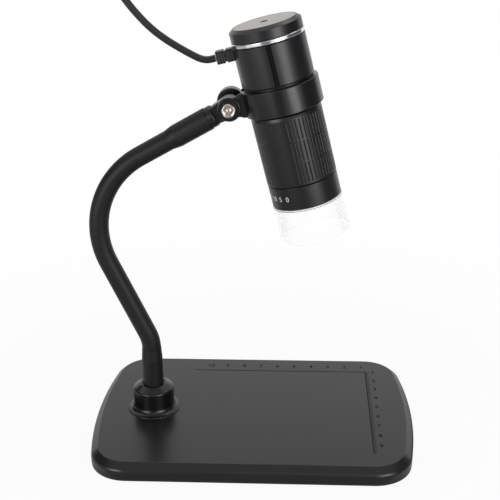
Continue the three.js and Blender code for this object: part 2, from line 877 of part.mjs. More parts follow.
function noseRing() {
  return turnedRing([
    [nose.shelfRadius, shelfEnd],
    [noseSocket, shelfEnd],
    [noseSocket, noseEnd],
    [nose.radius, noseEnd],
    [nose.radius, noseTop - nose.edge],
    [nose.radius - nose.edge, noseTop],
    [barrel.sleeveRadius + gap, noseTop],
    [barrel.sleeveRadius + gap, -barrel.sleeveEnd - gap],
    [nose.shelfRadius, -barrel.sleeveEnd - gap],
  ])
}

const noseTrimRing = () =>
  ringPlate(noseSocket, noseTrim.radius, trimEnd, trimEnd + noseTrim.height, barrelSides)

function clearCapSolid() {
  const collarRadius = noseSocket - gap
  const collarBore = collarRadius - clearCap.collarWall
  const shoulder = trimEnd - gap
  const end = shoulder - clearCap.length
  return turnedRing([
    [collarBore, shoulder + clearCap.collarLength],
    [collarBore, shoulder],
    [clearCap.topRadius - clearCap.wall, shoulder - clearCap.wall],
    [clearCap.endRadius - clearCap.wall, end + clearCap.rimRounding],
    [clearCap.endRadius - clearCap.wall / 2, end],
    [clearCap.endRadius, end + clearCap.rimRounding],
    [clearCap.topRadius, shoulder],
    [collarRadius, shoulder],
    [collarRadius, shoulder + clearCap.collarLength],
  ])
}

function lensCarrierSolid() {
  const flangeRadius = barrel.sleeveRadius - barrel.sleeveWall - gap
  const flangeTop = flangeMiddle + lensCarrier.flangeLength / 2
  const flangeLow = flangeMiddle - lensCarrier.flangeLength / 2
  const seat = -lensCarrier.tubeEnd + lensCarrier.lensSeatDepth
  const body = turnedRing(
    [
      [lensCarrier.apertureRadius, flangeTop],
      [lensCarrier.apertureRadius, seat],
      [lensCarrier.lensSeatRadius, seat],
      [lensCarrier.lensSeatRadius, -lensCarrier.tubeEnd],
      [lensCarrier.tubeRadius, -lensCarrier.tubeEnd],
      [lensCarrier.tubeRadius, flangeLow],
      [flangeRadius, flangeLow],
      [flangeRadius, flangeTop],
    ],
    turnedSides,
  )
  const pinEnd = barrel.sleeveRadius + gap + follower.engagement
  const pin = alongY(rod(follower.radius, flangeRadius - overrun, pinEnd, smallSides))
  return body.add(moved(pin, [0, 0, flangeMiddle]))
}

function lensGlass() {
  const radius = lensCarrier.lensSeatRadius - gap
  const top = -lensCarrier.tubeEnd + lensCarrier.lensSeatDepth - gap
  const low = top - lens.edge
  return turned(
    [
      [0, low - lens.frontBulge],
      [radius * lens.zoneShare, low - lens.frontBulge * lens.zoneBulgeShare],
      [radius, low],
      [radius, top],
      [lensCarrier.apertureRadius - lens.backInset, top],
      [0, top + lens.backBulge],
    ],
    turnedSides,
  )
}

function ledBoardSolid() {
  const low = ledBoardTop - ledBoard.thickness
  let board = ringPlate(ledBoard.innerRadius, noseSocket - gap, low, ledBoardTop, barrelSides)
  for (let i = 0; i < ledBoard.ledCount; i += 1) {
    const angle = (fullTurn * i) / ledBoard.ledCount
    const tip = low - ledBoard.ledHeight
    const led = turned(
      [
        [0, tip],
        [ledBoard.ledRadius, tip + ledBoard.domeHeight],
        [ledBoard.ledRadius, low + gap],
        [0, low + gap],
      ],
      8,
    )
    const place = [ledBoard.ledCircle * Math.cos(angle), ledBoard.ledCircle * Math.sin(angle), 0]
    board = board.add(moved(led, place))
  }
  return board
}

function sensorBoardSolid() {
  const low = -barrel.shelf + gap
  const top = low + sensorBoard.thickness
  const board = rod(barrel.radius - barrel.wall - gap, low, top, turnedSides)
  const sensor = box(sensorBoard.sensorWidth, sensorBoard.sensorWidth, sensorBoard.sensorHeight + gap, [
    0,
    0,
    low - (sensorBoard.sensorHeight - gap) / 2,
  ])
  const plugBlock = box(sensorBoard.plugDepth, sensorBoard.plugWidth, sensorBoard.plugHeight + gap, [
    -sensorBoard.plugOffset,
    0,
    top + (sensorBoard.plugHeight - gap) / 2,
  ])
  return board.add(sensor).add(plugBlock)
}

// Gland: a spigot through the housing's wall and two square blocks with a waist between
function cableGland() {
  const wallInside = barrel.radius - barrel.wall
  const ring = (height, half) => {
    const flat = half - gland.cornerRadius
    return [0, 1, 2, 3].flatMap((side) => {
      const turn = (side * Math.PI) / 2
      const [c, s] = [Math.sign(Math.cos(turn + Math.PI / 4)), Math.sign(Math.sin(turn + Math.PI / 4))]
      return arc(c * flat, s * flat, gland.cornerRadius, turn, turn + Math.PI / 2, cornerSteps).map(
        ([x, y]) => new THREE.Vector3(x, y, height),
      )
    })
  }
  const start = barrel.radius + gap
  const rings = []
  for (const from of [start, start + gland.blockLength + gland.waistLength]) {
    const to = from + gland.blockLength
    rings.push(ring(from, gland.waistHalf), ring(from + gland.bevel, gland.half))
    rings.push(ring(to - gland.bevel, gland.half), ring(to, gland.waistHalf))
  }
  const spigot = rod(gland.spigotRadius, wallInside - 2 * gap, start + gland.bevel)
  const flangeTop = wallInside - gap
  const flange = rod(gland.flangeRadius, flangeTop - gland.flangeThickness, flangeTop)
  return alongMinusX(loft(rings).add(spigot).add(flange), gland.station)
}

// Cable route

const glandTip = barrel.radius + gap + 2 * gland.blockLength + gland.waistLength
const barrelPlace = new THREE.Vector3(
  pivot.point.x + hinge.reach * Math.cos(barrel.lean),
  0,
  pivot.point.z + hinge.reach * Math.sin(barrel.lean),
)
const barrelTurn = new THREE.Matrix4().makeRotationY(-barrel.lean).setPosition(barrelPlace)
const lowerLayer = tie.thickness + gap + cable.radius
const upperLayer = lowerLayer + coil.pitch
const plugHeight = plug.bodyHeight / 2

// Both ends of the free stretch run straight for one diameter, square to the gland and the coil
const straightEnd = 2 * cable.radius
const atGland = [0, straightEnd].map((run) =>
  new THREE.Vector3(-glandTip - gap - run, 0, gland.station).applyMatrix4(barrelTurn),
)
const atCoil = [straightEnd, 0].map(
  (run) => new THREE.Vector3(coil.x + straightEnd + gap + run, coil.y - coil.outerRadius, upperLayer),
)

// The free stretch's points, chosen by hand between the gland and the coil
const cableRoute = [
  [-24.4, 0, 205.3],
  [-28.6, 0, 207.2],
  [-34.7, 0, 210.6],
  [-41, 0, 214.5],
  [-46.4, 0, 218.5],
  [-50.8, 0, 222.5],
  [-54.4, 0, 226.4],
  [-57.6, 0, 230.2],
  [-60.6, 0, 234.2],
  [-65.2, -0.6, 240.6],
  [-72.2, -2.4, 248],
  [-81.6, -6, 253.8],
  [-92.6, -11.4, 256],
  [-104, -18.6, 253.6],
  [-114.6, -27, 246],
  [-122.8, -35, 234],
  [-128.6, -42, 218],
  [-132, -47.6, 198],
  [-134, -51.6, 174],
  [-135, -54.2, 148],
  [-135.6, -55.8, 120],
  [-136.4, -56.8, 92],
  [-137.8, -57.4, 66],
  [-139.8, -57.8, 43],
  [-142.6, -57.9, 27],
  [-147.2, -58, 15],
  [-153, -58, 9],
]
const cablePoints = [...atGland, ...cableRoute.map((point) => new THREE.Vector3(...point)), ...atCoil]

function cableSolid() {
  const path = new THREE.CatmullRomCurve3(cablePoints)
  return tube(path, cable.radius, cable.sides, Math.round(path.getLength() / cable.stepLength))
}

// Coil: clockwise from the front, in on the upper layer and out on the lower one
const coilRadius = (turns) => coil.outerRadius - coil.pitch * Math.min(turns, coil.turnCount - turns)

function coilPoints() {
  const steps = Math.round(coil.turnCount * coil.stepsPerTurn)
  const points = [new THREE.Vector3(coil.x + straightEnd, coil.y - coil.outerRadius, upperLayer)]
  for (let i = 0; i <= steps; i += 1) {
    const turns = i / coil.stepsPerTurn
    const angle = -Math.PI / 2 - turns * fullTurn
    const radius = coilRadius(turns)
    const halfClimb = coil.climbTurns / 2
    const climb = THREE.MathUtils.smoothstep(turns - coil.turnCount / 2, -halfClimb, halfClimb)
    points.push(
      new THREE.Vector3(
        coil.x + radius * Math.cos(angle),
        coil.y + radius * Math.sin(angle),
        upperLayer - climb * (upperLayer - lowerLayer),
      ),
    )
  }
  for (let i = 1; i <= coil.leadSteps; i += 1) {
    const share = i / coil.leadSteps
    const rise = THREE.MathUtils.smoothstep(i, 0, coil.leadSteps - 1)
    const height = lowerLayer + rise * (plugHeight - lowerLayer)
    points.push(new THREE.Vector3(coil.x - coil.outerRadius, coil.y + share * coil.leadOut, height))
  }
  return points
}

// The least room between stretches of the coil that are at least half a turn apart
function leastGap(points) {
  const apart = coil.stepsPerTurn / 2
  let least = Infinity
  for (let i = 0; i < points.length; i += 1) {
    for (let j = i + apart; j < points.length - 1; j += 1) {
      const stretch = new THREE.Line3(points[j], points[j + 1])
      const near = stretch.closestPointToPoint(points[i], true, new THREE.Vector3())
      least = Math.min(least, near.distanceTo(points[i]))
    }
  }
  return least - 2 * cable.radius
}

function cableCoil() {
  const points = coilPoints()
  console.log(`Cable coil: least gap to itself ${leastGap(points).toFixed(2)} mm`)
  return tube(new THREE.CatmullRomCurve3(points), cable.radius, coil.sides, points.length)
}

// Tie: a flat band round the coil's bundle, at its back
function cableTie() {
  const radii = Array.from({ length: Math.floor(coil.turnCount) }, (_, i) => coilRadius(i + tie.azimuthShare))
  const near = coil.y + Math.min(...radii) - cable.radius - gap
  const far = coil.y + Math.max(...radii) + cable.radius + gap
  const high = upperLayer + cable.radius + gap
  const [length, height] = [far - near, high - tie.thickness]
  const band = roundedRectangle(length + 2 * tie.thickness, height + 2 * tie.thickness, 2 * tie.thickness)
  band.holes.push(roundedRectangle(length, height, tie.thickness))
  const solid = moved(slab(band, tie.width, cornerSteps), [0, 0, 0], [0, 0, 1], Math.PI / 2)
  return moved(solid, [coil.x, (near + far) / 2, (high + tie.thickness) / 2])
}

// Plug, drawn along +Z from the cable's end and laid along +Y
const plugStart = coil.y + coil.leadOut + gap
const layPlug = (solid) =>
  moved(solid, [coil.x - coil.outerRadius, plugStart, plugHeight], [1, 0, 0], -Math.PI / 2)
const bodyEnd = plug.noseLength + plug.bodyLength

function plugBody() {
  const relief = turned(
    [
      [0, 0],
      [plug.noseTipRadius, 0],
      [plug.noseRadius, plug.noseLength],
      [plug.noseRadius, plug.noseLength + overrun],
      [0, plug.noseLength + overrun],
    ],
    neckSides,
  )
  const body = upright(
    roundedRectangle(plug.bodyWidth, plug.bodyHeight, plug.edgeRadius),
    plug.bodyLength,
    plug.noseLength,
  )
  const pocket = box(
    plugShell.width + 2 * gap,
    plugShell.height + 2 * gap,
    2 * plug.pocketDepth,
    [0, 0, bodyEnd],
  )
  const tongueStart = bodyEnd - plug.pocketDepth - gap
  const tongueOffset = (plugShell.height - plug.tongueThickness) / 2 - plugShell.wall - gap
  const tongue = box(plug.tongueWidth, plug.tongueThickness, plug.tongueLength, [
    0,
    tongueOffset,
    tongueStart + plug.tongueLength / 2,
  ])
  return layPlug(relief.add(body).subtract(pocket).add(tongue))
}

function plugShellSolid() {
  const start = bodyEnd - plug.pocketDepth + gap
  const middle = [0, 0, start + plugShell.length / 2]
  const outer = box(plugShell.width, plugShell.height, plugShell.length, middle)
  const inner = box(
    plugShell.width - 2 * plugShell.wall,
    plugShell.height - 2 * plugShell.wall,
    plugShell.length + overrun,
    middle,
  )
  return layPlug(outer.subtract(inner))
}

// Assembly
const microscope = new THREE.Group()

microscope.add(
  piece('base_top_shell', 'basePlastic', baseTopShell()),
  piece('base_bottom_plate', 'blackPlastic', baseBottomPlate()),
  piece('ballast_plate', 'steel', moved(ballastPlate(), [ballast.offset, 0, 0])),
)
screwPlaces.forEach(([x, y], i) => {
  const screwMesh = piece(`base_screw_${i + 1}`, 'steel', baseScrewSolid())
  screwMesh.position.set(x, y, 0)
  microscope.add(screwMesh)
})
footPlaces.forEach(([x, y], i) => {
  const footMesh = piece(`rubber_foot_${i + 1}`, 'blackRubber', rubberFoot())
  footMesh.position.set(x, y, 0)
  microscope.add(footMesh)
})

const neckFoot = new THREE.Group()
neckFoot.position.x = collar.x
neckFoot.add(
  piece('neck_collar', 'blackPlastic', neckCollar()),
  piece('neck_sleeve_lower', 'blackMetal', ferruleSolid()),
  piece('collar_washer', 'steel', collarWasher()),
  piece('collar_nut', 'steel', collarNut()),
)
microscope.add(neckFoot)

microscope.add(
  piece('neck_root', 'blackRubber', neckRoot()),
  piece('neck_lower', 'blackRubber', neckStretch(bendPlaces[0], bendPlaces[1], { cup: true, ball: true })),
  piece('neck_middle', 'blackRubber', neckStretch(bendPlaces[1], bendPlaces[2], { cup: true, ball: true })),
  piece('neck_upper', 'blackRubber', neckUpper()),
)

const neckEnd = new THREE.Group()
neckEnd.position.copy(pivot.point)
neckEnd.rotation.y = pivot.heading
neckEnd.add(
  piece('neck_sleeve_upper', 'blackMetal', neckSleeve()),
  piece('neck_eye', 'blackMetal', neckEye()),
)
microscope.add(neckEnd)

const hingeGroup = new THREE.Group()
hingeGroup.position.copy(pivot.point)
hingeGroup.add(
  piece('hinge_bolt', 'chrome', hingeBolt()),
  piece('hinge_washer', 'steel', hingeWasherSolid()),
  piece('hinge_thumb_nut', 'blackPlastic', thumbNutSolid()),
)
microscope.add(hingeGroup)

const head = new THREE.Group()
head.position.copy(barrelPlace)
head.rotation.y = -barrel.lean
head.add(
  piece('clamp_ring', 'blackPlastic', clampRingSolid()),
  piece('barrel_housing', 'blackPlastic', barrelHousing()),
  piece('top_trim_ring', 'chrome', topTrimRing()),
  piece('top_cap', 'capPlastic', topCapSolid()),
  piece('indicator_lens', 'blackPlastic', indicatorLens()),
  piece('focus_ring', 'blackPlastic', focusRingSolid()),
  piece('nose_ring', 'blackPlastic', noseRing()),
  piece('nose_trim_ring', 'chrome', noseTrimRing()),
  piece('clear_cap', 'clearPlastic', clearCapSolid()),
  piece('lens_carrier', 'blackMetal', lensCarrierSolid()),
  piece('lens_glass', 'lensGlass', lensGlass()),
  piece('led_board', 'boardGreen', ledBoardSolid()),
  piece('sensor_board', 'boardGreen', sensorBoardSolid()),
  piece('cable_gland', 'blackRubber', cableGland()),
)
microscope.add(head)

microscope.add(
  piece('cable', 'blackRubber', cableSolid()),
  piece('cable_coil', 'blackRubber', cableCoil()),
  piece('cable_tie', 'blackPlastic', cableTie()),
  piece('usb_plug_body', 'blackPlastic', plugBody()),
  piece('usb_plug_shell', 'chrome', plugShellSolid()),
)

export default microscope
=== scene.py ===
# USB digital microscope on its measuring base: everything that shows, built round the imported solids
import json
import math

import bmesh
import bpy
from mathutils import Matrix, Vector
from mathutils.geometry import interpolate_bezier


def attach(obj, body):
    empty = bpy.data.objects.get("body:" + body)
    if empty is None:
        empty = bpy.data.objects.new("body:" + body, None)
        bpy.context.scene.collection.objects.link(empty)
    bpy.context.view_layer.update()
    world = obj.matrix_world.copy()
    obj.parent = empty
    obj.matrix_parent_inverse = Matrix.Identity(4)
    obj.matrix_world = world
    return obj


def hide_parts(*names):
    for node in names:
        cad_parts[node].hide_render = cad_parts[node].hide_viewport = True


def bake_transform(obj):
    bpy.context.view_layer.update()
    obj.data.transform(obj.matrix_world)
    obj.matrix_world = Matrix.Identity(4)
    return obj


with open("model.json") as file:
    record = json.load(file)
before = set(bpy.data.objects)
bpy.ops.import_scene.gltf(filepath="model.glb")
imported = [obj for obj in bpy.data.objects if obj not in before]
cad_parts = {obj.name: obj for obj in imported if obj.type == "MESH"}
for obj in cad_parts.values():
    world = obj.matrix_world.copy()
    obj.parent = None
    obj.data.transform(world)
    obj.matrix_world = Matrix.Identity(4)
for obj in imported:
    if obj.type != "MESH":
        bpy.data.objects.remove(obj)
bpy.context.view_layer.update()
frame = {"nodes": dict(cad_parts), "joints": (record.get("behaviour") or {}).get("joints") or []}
print("frame loaded:", len(frame["nodes"]), "solids")

scene = bpy.context.scene
mm = 0.001
degree = math.pi / 180
fullTurn = 2 * math.pi
onAxis = 1e-6  # mm, a point nearer to the axis than this lies on it
through = 20  # mm, the reach of tools that cut right through a wall
overrun = 1  # mm, how far a shorter tool stands out of what it cuts
hairEdge = 0.05  # mm, the radius of an edge, as are the next three
fineEdge = 0.1
smallEdge = 0.2
softEdge = 0.3
roundSides = 160  # of a round piece that is as wide as the barrel


# Places: every shape is drawn in millimetres, in its piece's own frame


def placedAt(origin, along, side):  # local Z goes along, local X as near to side as it can
    z = Vector(along).normalized()
    y = z.cross(Vector(side)).normalized()
    turn = Matrix((y.cross(z), y, z)).transposed().to_4x4()
    return Matrix.Translation(origin) @ turn @ Matrix.Scale(mm, 4)


def shift(x=0, y=0, z=0):
    return Matrix.Translation((x, y, z))


joints = {joint["name"]: joint for joint in frame["joints"]}
pivotPlace = Vector(joints["head_tilt"]["pos_m"])
barrelPlace = Vector(joints["barrel_turn"]["pos_m"])
barrelUp = Vector(joints["barrel_turn"]["axis"])
barrelOut = Vector((0, 1, 0)).cross(barrelUp)  # away from the hinge

table = Matrix.Scale(mm, 4)
hinge = placedAt(pivotPlace, (0, 1, 0), (1, 0, 0))
barrel = placedAt(barrelPlace, barrelUp, barrelOut)
clampSide = placedAt(barrelPlace, (0, 1, 0), barrelOut)  # local Y points down the barrel


# Shapes: lists of points and faces


def rounded(corners, closed=False, steps=4):  # corners as (x, y) or (x, y, radius of its arc)
    line = []
    for i, corner in enumerate(corners):
        here = Vector(corner[:2])
        radius = corner[2] if len(corner) > 2 else 0
        if not radius:
            line.append(tuple(here))
            continue
        back = (Vector(corners[i - 1][:2]) - here).normalized()
        on = (Vector(corners[(i + 1) % len(corners)][:2]) - here).normalized()
        half = back.angle(on) / 2
        middle = here + (back + on).normalized() * radius / math.sin(half)
        first = here + back * radius / math.tan(half) - middle
        last = here + on * radius / math.tan(half) - middle
        sweepAngle = -first.angle_signed(last)
        for step in range(steps + 1):
            turned = first.copy()
            turned.rotate(Matrix.Rotation(sweepAngle * step / steps, 2))
            line.append(tuple(middle + turned))
    return line + [line[0]] if closed else line


def arc(x, y, radius, start, end, steps):
    angles = [start + (end - start) * i / steps for i in range(steps + 1)]
    return [(x + radius * math.cos(a), y + radius * math.sin(a)) for a in angles]


def lathe(profile, sides=96, angles=None, relief=None):
    # a profile of (radius, height) turned about Z; relief(angle, height, radius) is added to the radius
    angles = angles or [fullTurn * i / sides for i in range(sides)]
    closed = profile[0] == profile[-1]
    points, rows = [], []
    for radius, height in profile[:-1] if closed else profile:
        if radius < onAxis:
            rows.append([len(points)] * len(angles))
            points.append((0, 0, height))
            continue
        rows.append(list(range(len(points), len(points) + len(angles))))
        for a in angles:
            r = radius + (relief(a, height, radius) if relief else 0)
            points.append((r * math.cos(a), r * math.sin(a), height))
    faces = []
    for low, high in zip(rows, rows[1:] + rows[:1] if closed else rows[1:]):
        for i in range(len(angles)):
            j = (i + 1) % len(angles)
            face = list(dict.fromkeys((low[i], low[j], high[j], high[i])))
            if len(face) > 2:
                faces.append(face)
    return points, faces


def rod(radius, low, high, sides=40):
    return lathe([(0, low), (radius, low), (radius, high), (0, high)], sides)


def loft(rings):  # rings of equal count, skinned in turn, with a flat face at each end
    count = len(rings[0])
    points = [tuple(point) for ring in rings for point in ring]
    faces = [list(range(count))[::-1], list(range(len(points) - count, len(points)))]
    for start in range(0, len(points) - count, count):
        for i in range(count):
            j = (i + 1) % count
            faces.append([start + i, start + j, start + j + count, start + i + count])
    return points, faces


def joined(*shapes):
    points, faces = [], []
    for shapePoints, shapeFaces in shapes:
        faces += [[i + len(points) for i in face] for face in shapeFaces]
        points += shapePoints
    return points, faces


def moved(shape, matrix):
    return [tuple(matrix @ Vector(point)) for point in shape[0]], shape[1]


def inset(loop, distance, leastShare=0.4):  # a counterclockwise loop drawn inwards
    out = []
    for i, here in enumerate(loop):
        here = Vector(here)
        back = (here - Vector(loop[i - 1])).normalized()
        on = (Vector(loop[(i + 1) % len(loop)]) - here).normalized()
        inwards = Vector((-back.y - on.y, back.x + on.x)).normalized()
        share = max(leastShare, inwards.dot(Vector((-back.y, back.x))))
        out.append(here + inwards * distance / share)
    return out


def slab(outline, low, high, edge, steps=3):  # an outline pushed along Z, its two rims rounded
    turns = [math.pi / 2 * i / steps for i in range(steps + 1)]
    levels = [(edge * (1 - math.sin(a)), low + edge * (1 - math.cos(a))) for a in turns]
    levels += [(edge * (1 - math.sin(a)), high - edge * (1 - math.cos(a))) for a in turns[::-1]]
    return loft([[(p.x, p.y, z) for p in inset(outline, d)] for d, z in levels])


def roundedBox(width, height, radius, steps=5):
    x, y = width / 2, height / 2
    return rounded([(x, -y, radius), (x, y, radius), (-x, y, radius), (-x, -y, radius)], steps=steps)


def ringsAlong(path, radius, sides, side=(0, 1, 0)):  # round sections that don't twist along a path
    side, rings = Vector(side), []
    for i, point in enumerate(path):
        ahead = (path[min(i + 1, len(path) - 1)] - path[max(i - 1, 0)]).normalized()
        side = (side - ahead * side.dot(ahead)).normalized()
        other = ahead.cross(side)
        turns = [fullTurn * k / sides for k in range(sides)]
        rings.append([point + radius * (side * math.cos(a) + other * math.sin(a)) for a in turns])
    return rings


def smoothLine(points, step):  # a centripetal curve through given points
    ends = [2 * points[0] - points[1], *points, 2 * points[-1] - points[-2]]
    line = []
    for a, b, c, d in zip(ends, ends[1:], ends[2:], ends[3:]):
        ab, bc, cd = (math.sqrt((q - p).length) for p, q in ((a, b), (b, c), (c, d)))
        leave = ((b - a) / ab - (c - a) / (ab + bc) + (c - b) / bc) * bc
        arrive = ((c - b) / bc - (d - b) / (bc + cd) + (d - c) / cd) * bc
        count = max(2, round((c - b).length / step) + 1)
        line += interpolate_bezier(b, b + leave / 3, c - arrive / 3, c, count)[:-1]
    return line + [points[-1]]


def lengthOf(path):
    return sum((b - a).length for a, b in zip(path, path[1:]))


# Pieces


def meshed(name, shape, at):
    mesh = bpy.data.meshes.new(name)
    mesh.from_pydata([at @ Vector(point) for point in shape[0]], [], shape[1])
    work = bmesh.new()
    work.from_mesh(mesh)
    bmesh.ops.recalc_face_normals(work, faces=work.faces)
    work.to_mesh(mesh)
    work.free()
    piece = bpy.data.objects.new(name, mesh)
    scene.collection.objects.link(piece)
    return piece


def combined(piece, tools, operation="DIFFERENCE"):  # cuts or joins the tools, which then go
    for tool in tools:
        step = piece.modifiers.new("cut", "BOOLEAN")
        step.object, step.operation, step.solver = tool, operation, "EXACT"
    seen = piece.evaluated_get(bpy.context.evaluated_depsgraph_get())
    mesh = bpy.data.meshes.new_from_object(seen)
    piece.modifiers.clear()
    piece.data = mesh
    for tool in tools:
        bpy.data.objects.remove(tool)
    return piece


def finished(piece, look, body=None, stands=(), sharp=32):
    piece.data.materials.clear()
    piece.data.materials.append(looks[look])
    piece.data.polygons.foreach_set("use_smooth", [True] * len(piece.data.polygons))
    piece.data.polygons.foreach_set("material_index", [0] * len(piece.data.polygons))
    piece.data.set_sharp_from_angle(angle=sharp * degree)
    evened = piece.modifiers.new("evened", "WEIGHTED_NORMAL")
    evened.keep_sharp = True
    if stands:
        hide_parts(*stands)
    if body:
        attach(piece, body)
    return piece


def made(name, shape, at, look, body=None, stands=(), sharp=32):
    return finished(meshed(name, shape, at), look, body, stands, sharp)


# Materials

white = (1, 1, 1, 1)


def linear(colour):  # sRGB hex to the scene's linear values
    parts = [int(colour[i : i + 2], 16) / 255 for i in (1, 3, 5)]
    return (*(p / 12.92 if p <= 0.04045 else ((p + 0.055) / 1.055) ** 2.4 for p in parts), 1)


def addNode(tree, kind, inputs=None, **settings):
    node = tree.nodes.new(kind)
    for key, value in settings.items():
        setattr(node, key, value)
    for key, value in (inputs or {}).items():
        if isinstance(value, bpy.types.NodeSocket):
            tree.links.new(value, node.inputs[key])
        else:
            node.inputs[key].default_value = value
    return node


def perMm(size):  # a noise's scale for features of this size, in mm
    return 1 / (size * mm)


def cleared(owner):  # its node tree, emptied
    owner.use_nodes = True
    owner.node_tree.nodes.clear()
    return owner.node_tree


def surface(name, slot, colour, shade, cloud, grain, relief, roughness, spread, **sockets):
    # colour drifts to shade in clouds, and the grain sets the bump and a little of the roughness
    look = bpy.data.materials.new(name)
    look["slot"] = slot
    tree = cleared(look)
    where = addNode(tree, "ShaderNodeTexCoord").outputs["Object"]
    clouds = addNode(tree, "ShaderNodeTexNoise", {"Vector": where, "Scale": perMm(cloud), "Detail": 3})
    grains = addNode(tree, "ShaderNodeTexNoise", {"Vector": where, "Scale": perMm(grain), "Detail": 2})
    tint = addNode(tree, "ShaderNodeMix", {"Factor": clouds.outputs[0]}, data_type="RGBA")
    for socket, value in ((6, colour), (7, shade)):  # the two colours that it mixes
        tint.inputs[socket].default_value = linear(value)
    both = addNode(tree, "ShaderNodeMath", {0: clouds.outputs[0], 1: grains.outputs[0]}, operation="ADD")
    gloss = addNode(tree, "ShaderNodeMapRange", {"Value": both.outputs[0], "From Max": 2})
    gloss.inputs["To Min"].default_value = roughness - spread
    gloss.inputs["To Max"].default_value = roughness + spread
    bump = addNode(tree, "ShaderNodeBump", {"Height": grains.outputs[0], "Distance": relief * mm})
    values = {"Base Color": tint.outputs[2], "Roughness": gloss.outputs[0], "Normal": bump.outputs[0]}
    shader = addNode(tree, "ShaderNodeBsdfPrincipled", {**values, **sockets})
    addNode(tree, "ShaderNodeOutputMaterial", {"Surface": shader.outputs[0]})
    return look


def sparkTexturedAbs():
    # ABS from a spark-textured mould: charcoal, satin, with a soft mirror at a low angle
    return surface(
        "abs_spark_textured", "base_plastic", "#131214", "#19181a",
        cloud=35, grain=0.6, relief=0.012, roughness=0.3, spread=0.05,
    )


def satinPaintedAbs():
    # ABS under soft-touch black paint: deep black with one broad soft highlight
    return surface(
        "abs_satin_painted", "black_plastic", "#0e0e0f", "#121213",
        cloud=18, grain=0.5, relief=0.008, roughness=0.33, spread=0.05,
    )


def polishedAbs():
    # ABS from a polished mould: black with tight bright highlights
    return surface(
        "abs_polished", "gloss_black_plastic", "#0c0c0e", "#101012",
        cloud=15, grain=0.8, relief=0.004, roughness=0.26, spread=0.04,
    )


def etchedAbsPaintedSheen():
    # ABS from a finely etched mould, drawn pale taupe: painted sheen, the light it reflects at a low angle
    # put into its colour
    return surface(
        "abs_etched_painted_sheen", "cap_plastic", "#70675f", "#776e66",
        cloud=12, grain=0.45, relief=0.012, roughness=0.22, spread=0.03, **{"Specular IOR Level": 0.65},
    )


def extrudedElastomer():
    # extruded thermoplastic elastomer: matt black, a faint bloom along it
    return surface(
        "elastomer_extruded", "black_rubber", "#101011", "#151516",
        cloud=9, grain=0.7, relief=0.02, roughness=0.5, spread=0.06, **{"Specular IOR Level": 0.38},
    )


def grooveShadeStrip():
    # dull black strip at the bottom of the housing's groove: painted shade, a dark sheet that stands in
    # for the shade in the groove's depth
    return surface(
        "strip_painted_groove_shade", "black_rubber", "#0b0b0c", "#0f0f10",
        cloud=6, grain=0.3, relief=0.01, roughness=0.8, spread=0.05, **{"Specular IOR Level": 0.2},
    )


def extrudedPvc():
    # extruded PVC jacket: black, with one clean highlight along its length
    return surface(
        "pvc_extruded", "black_rubber", "#171719", "#1c1c1e",
        cloud=14, grain=0.9, relief=0.006, roughness=0.32, spread=0.05,
    )


def mouldedRubber():
    # moulded rubber foot: dull and slightly dusty
    return surface(
        "rubber_moulded", "black_rubber", "#1d1d1c", "#2a2928",
        cloud=4, grain=0.4, relief=0.03, roughness=0.75, spread=0.08,
    )


def powderCoatedSteel():
    # steel under a thin black powder coat: a fine orange-peel that breaks up the gloss
    return surface(
        "steel_powder_coated", "black_metal", "#161618", "#1b1b1d",
        cloud=10, grain=0.7, relief=0.015, roughness=0.36, spread=0.05,
    )


def chromedBrass():
    # bright chrome plate: mirrors the studio, with a trace of polishing haze
    return surface(
        "brass_chromed", "chrome", "#e6e6e8", "#d9dadd",
        cloud=8, grain=0.5, relief=0.001, roughness=0.15, spread=0.03, Metallic=1,
    )


def chromedBrassPaintedReflection():
    # chrome plate drawn near-white and even, with little of a mirror: painted reflection, the white
    # surroundings it mirrors put into its colour
    return surface(
        "brass_chromed_painted_reflection", "chrome", "#fffbfb", "#f8f4f5",
        cloud=8, grain=0.4, relief=0.004, roughness=0.35, spread=0.04, Metallic=0.1,
    )


def nickelPlatedSteel():
    # nickel plate on a pressed bolt: warmer and softer than chrome
    return surface(
        "steel_nickel_plated", "chrome", "#f0e6de", "#dccfc6",
        cloud=2.5, grain=0.4, relief=0.006, roughness=0.17, spread=0.05, Metallic=1,
    )


def zincPlatedSteel():
    # zinc-plated fasteners and weight inside the base: grey, softly streaked
    return surface(
        "steel_zinc_plated", "steel", "#9b9c9e", "#86888b",
        cloud=6, grain=0.5, relief=0.01, roughness=0.38, spread=0.07, Metallic=1,
    )


def frostedPolycarbonate():
    # clear polycarbonate blasted on one side: milky, almost lost against white
    return surface(
        "polycarbonate_frosted", "clear_plastic", "#ffffff", "#fcfdfc",
        cloud=9, grain=0.5, relief=0.004, roughness=0.3, spread=0.05,
        **{"Transmission Weight": 0.95, "IOR": 1.2, "Specular IOR Level": 0.3, "Alpha": 0.12},
    )


def coatedGlass():
    # lens glass with a blue-violet coating
    return surface(
        "glass_coated", "clear_glass", "#c9d4ea", "#bfd0e8",
        cloud=5, grain=0.8, relief=0.0005, roughness=0.04, spread=0.02,
        **{"Transmission Weight": 0.9, "IOR": 1.52},
    )


def maskedGlassEpoxy():
    # green solder mask on glass-epoxy: glossy lacquer over a faint weave
    return surface(
        "glass_epoxy_masked", "board_green", "#1f5a3a", "#17482e",
        cloud=5, grain=0.5, relief=0.01, roughness=0.3, spread=0.06,
    )


def castEpoxy():
    # white LED: milky epoxy dome with a yellow phosphor glow underneath
    return surface(
        "epoxy_cast_white", "clear_plastic", "#f2efd8", "#efe6b0",
        cloud=1.5, grain=0.4, relief=0.002, roughness=0.2, spread=0.04,
        **{"Transmission Weight": 0.2, "IOR": 1.5},
    )


def padPrintedInk():
    # pad-printed ink, duller and a little darker than the satin base that carries it
    return surface(
        "ink_pad_printed_grey", "base_plastic", "#0e0e0f", "#131314",
        cloud=6, grain=0.3, relief=0.002, roughness=0.85, spread=0.05, **{"Specular IOR Level": 0.15},
    )


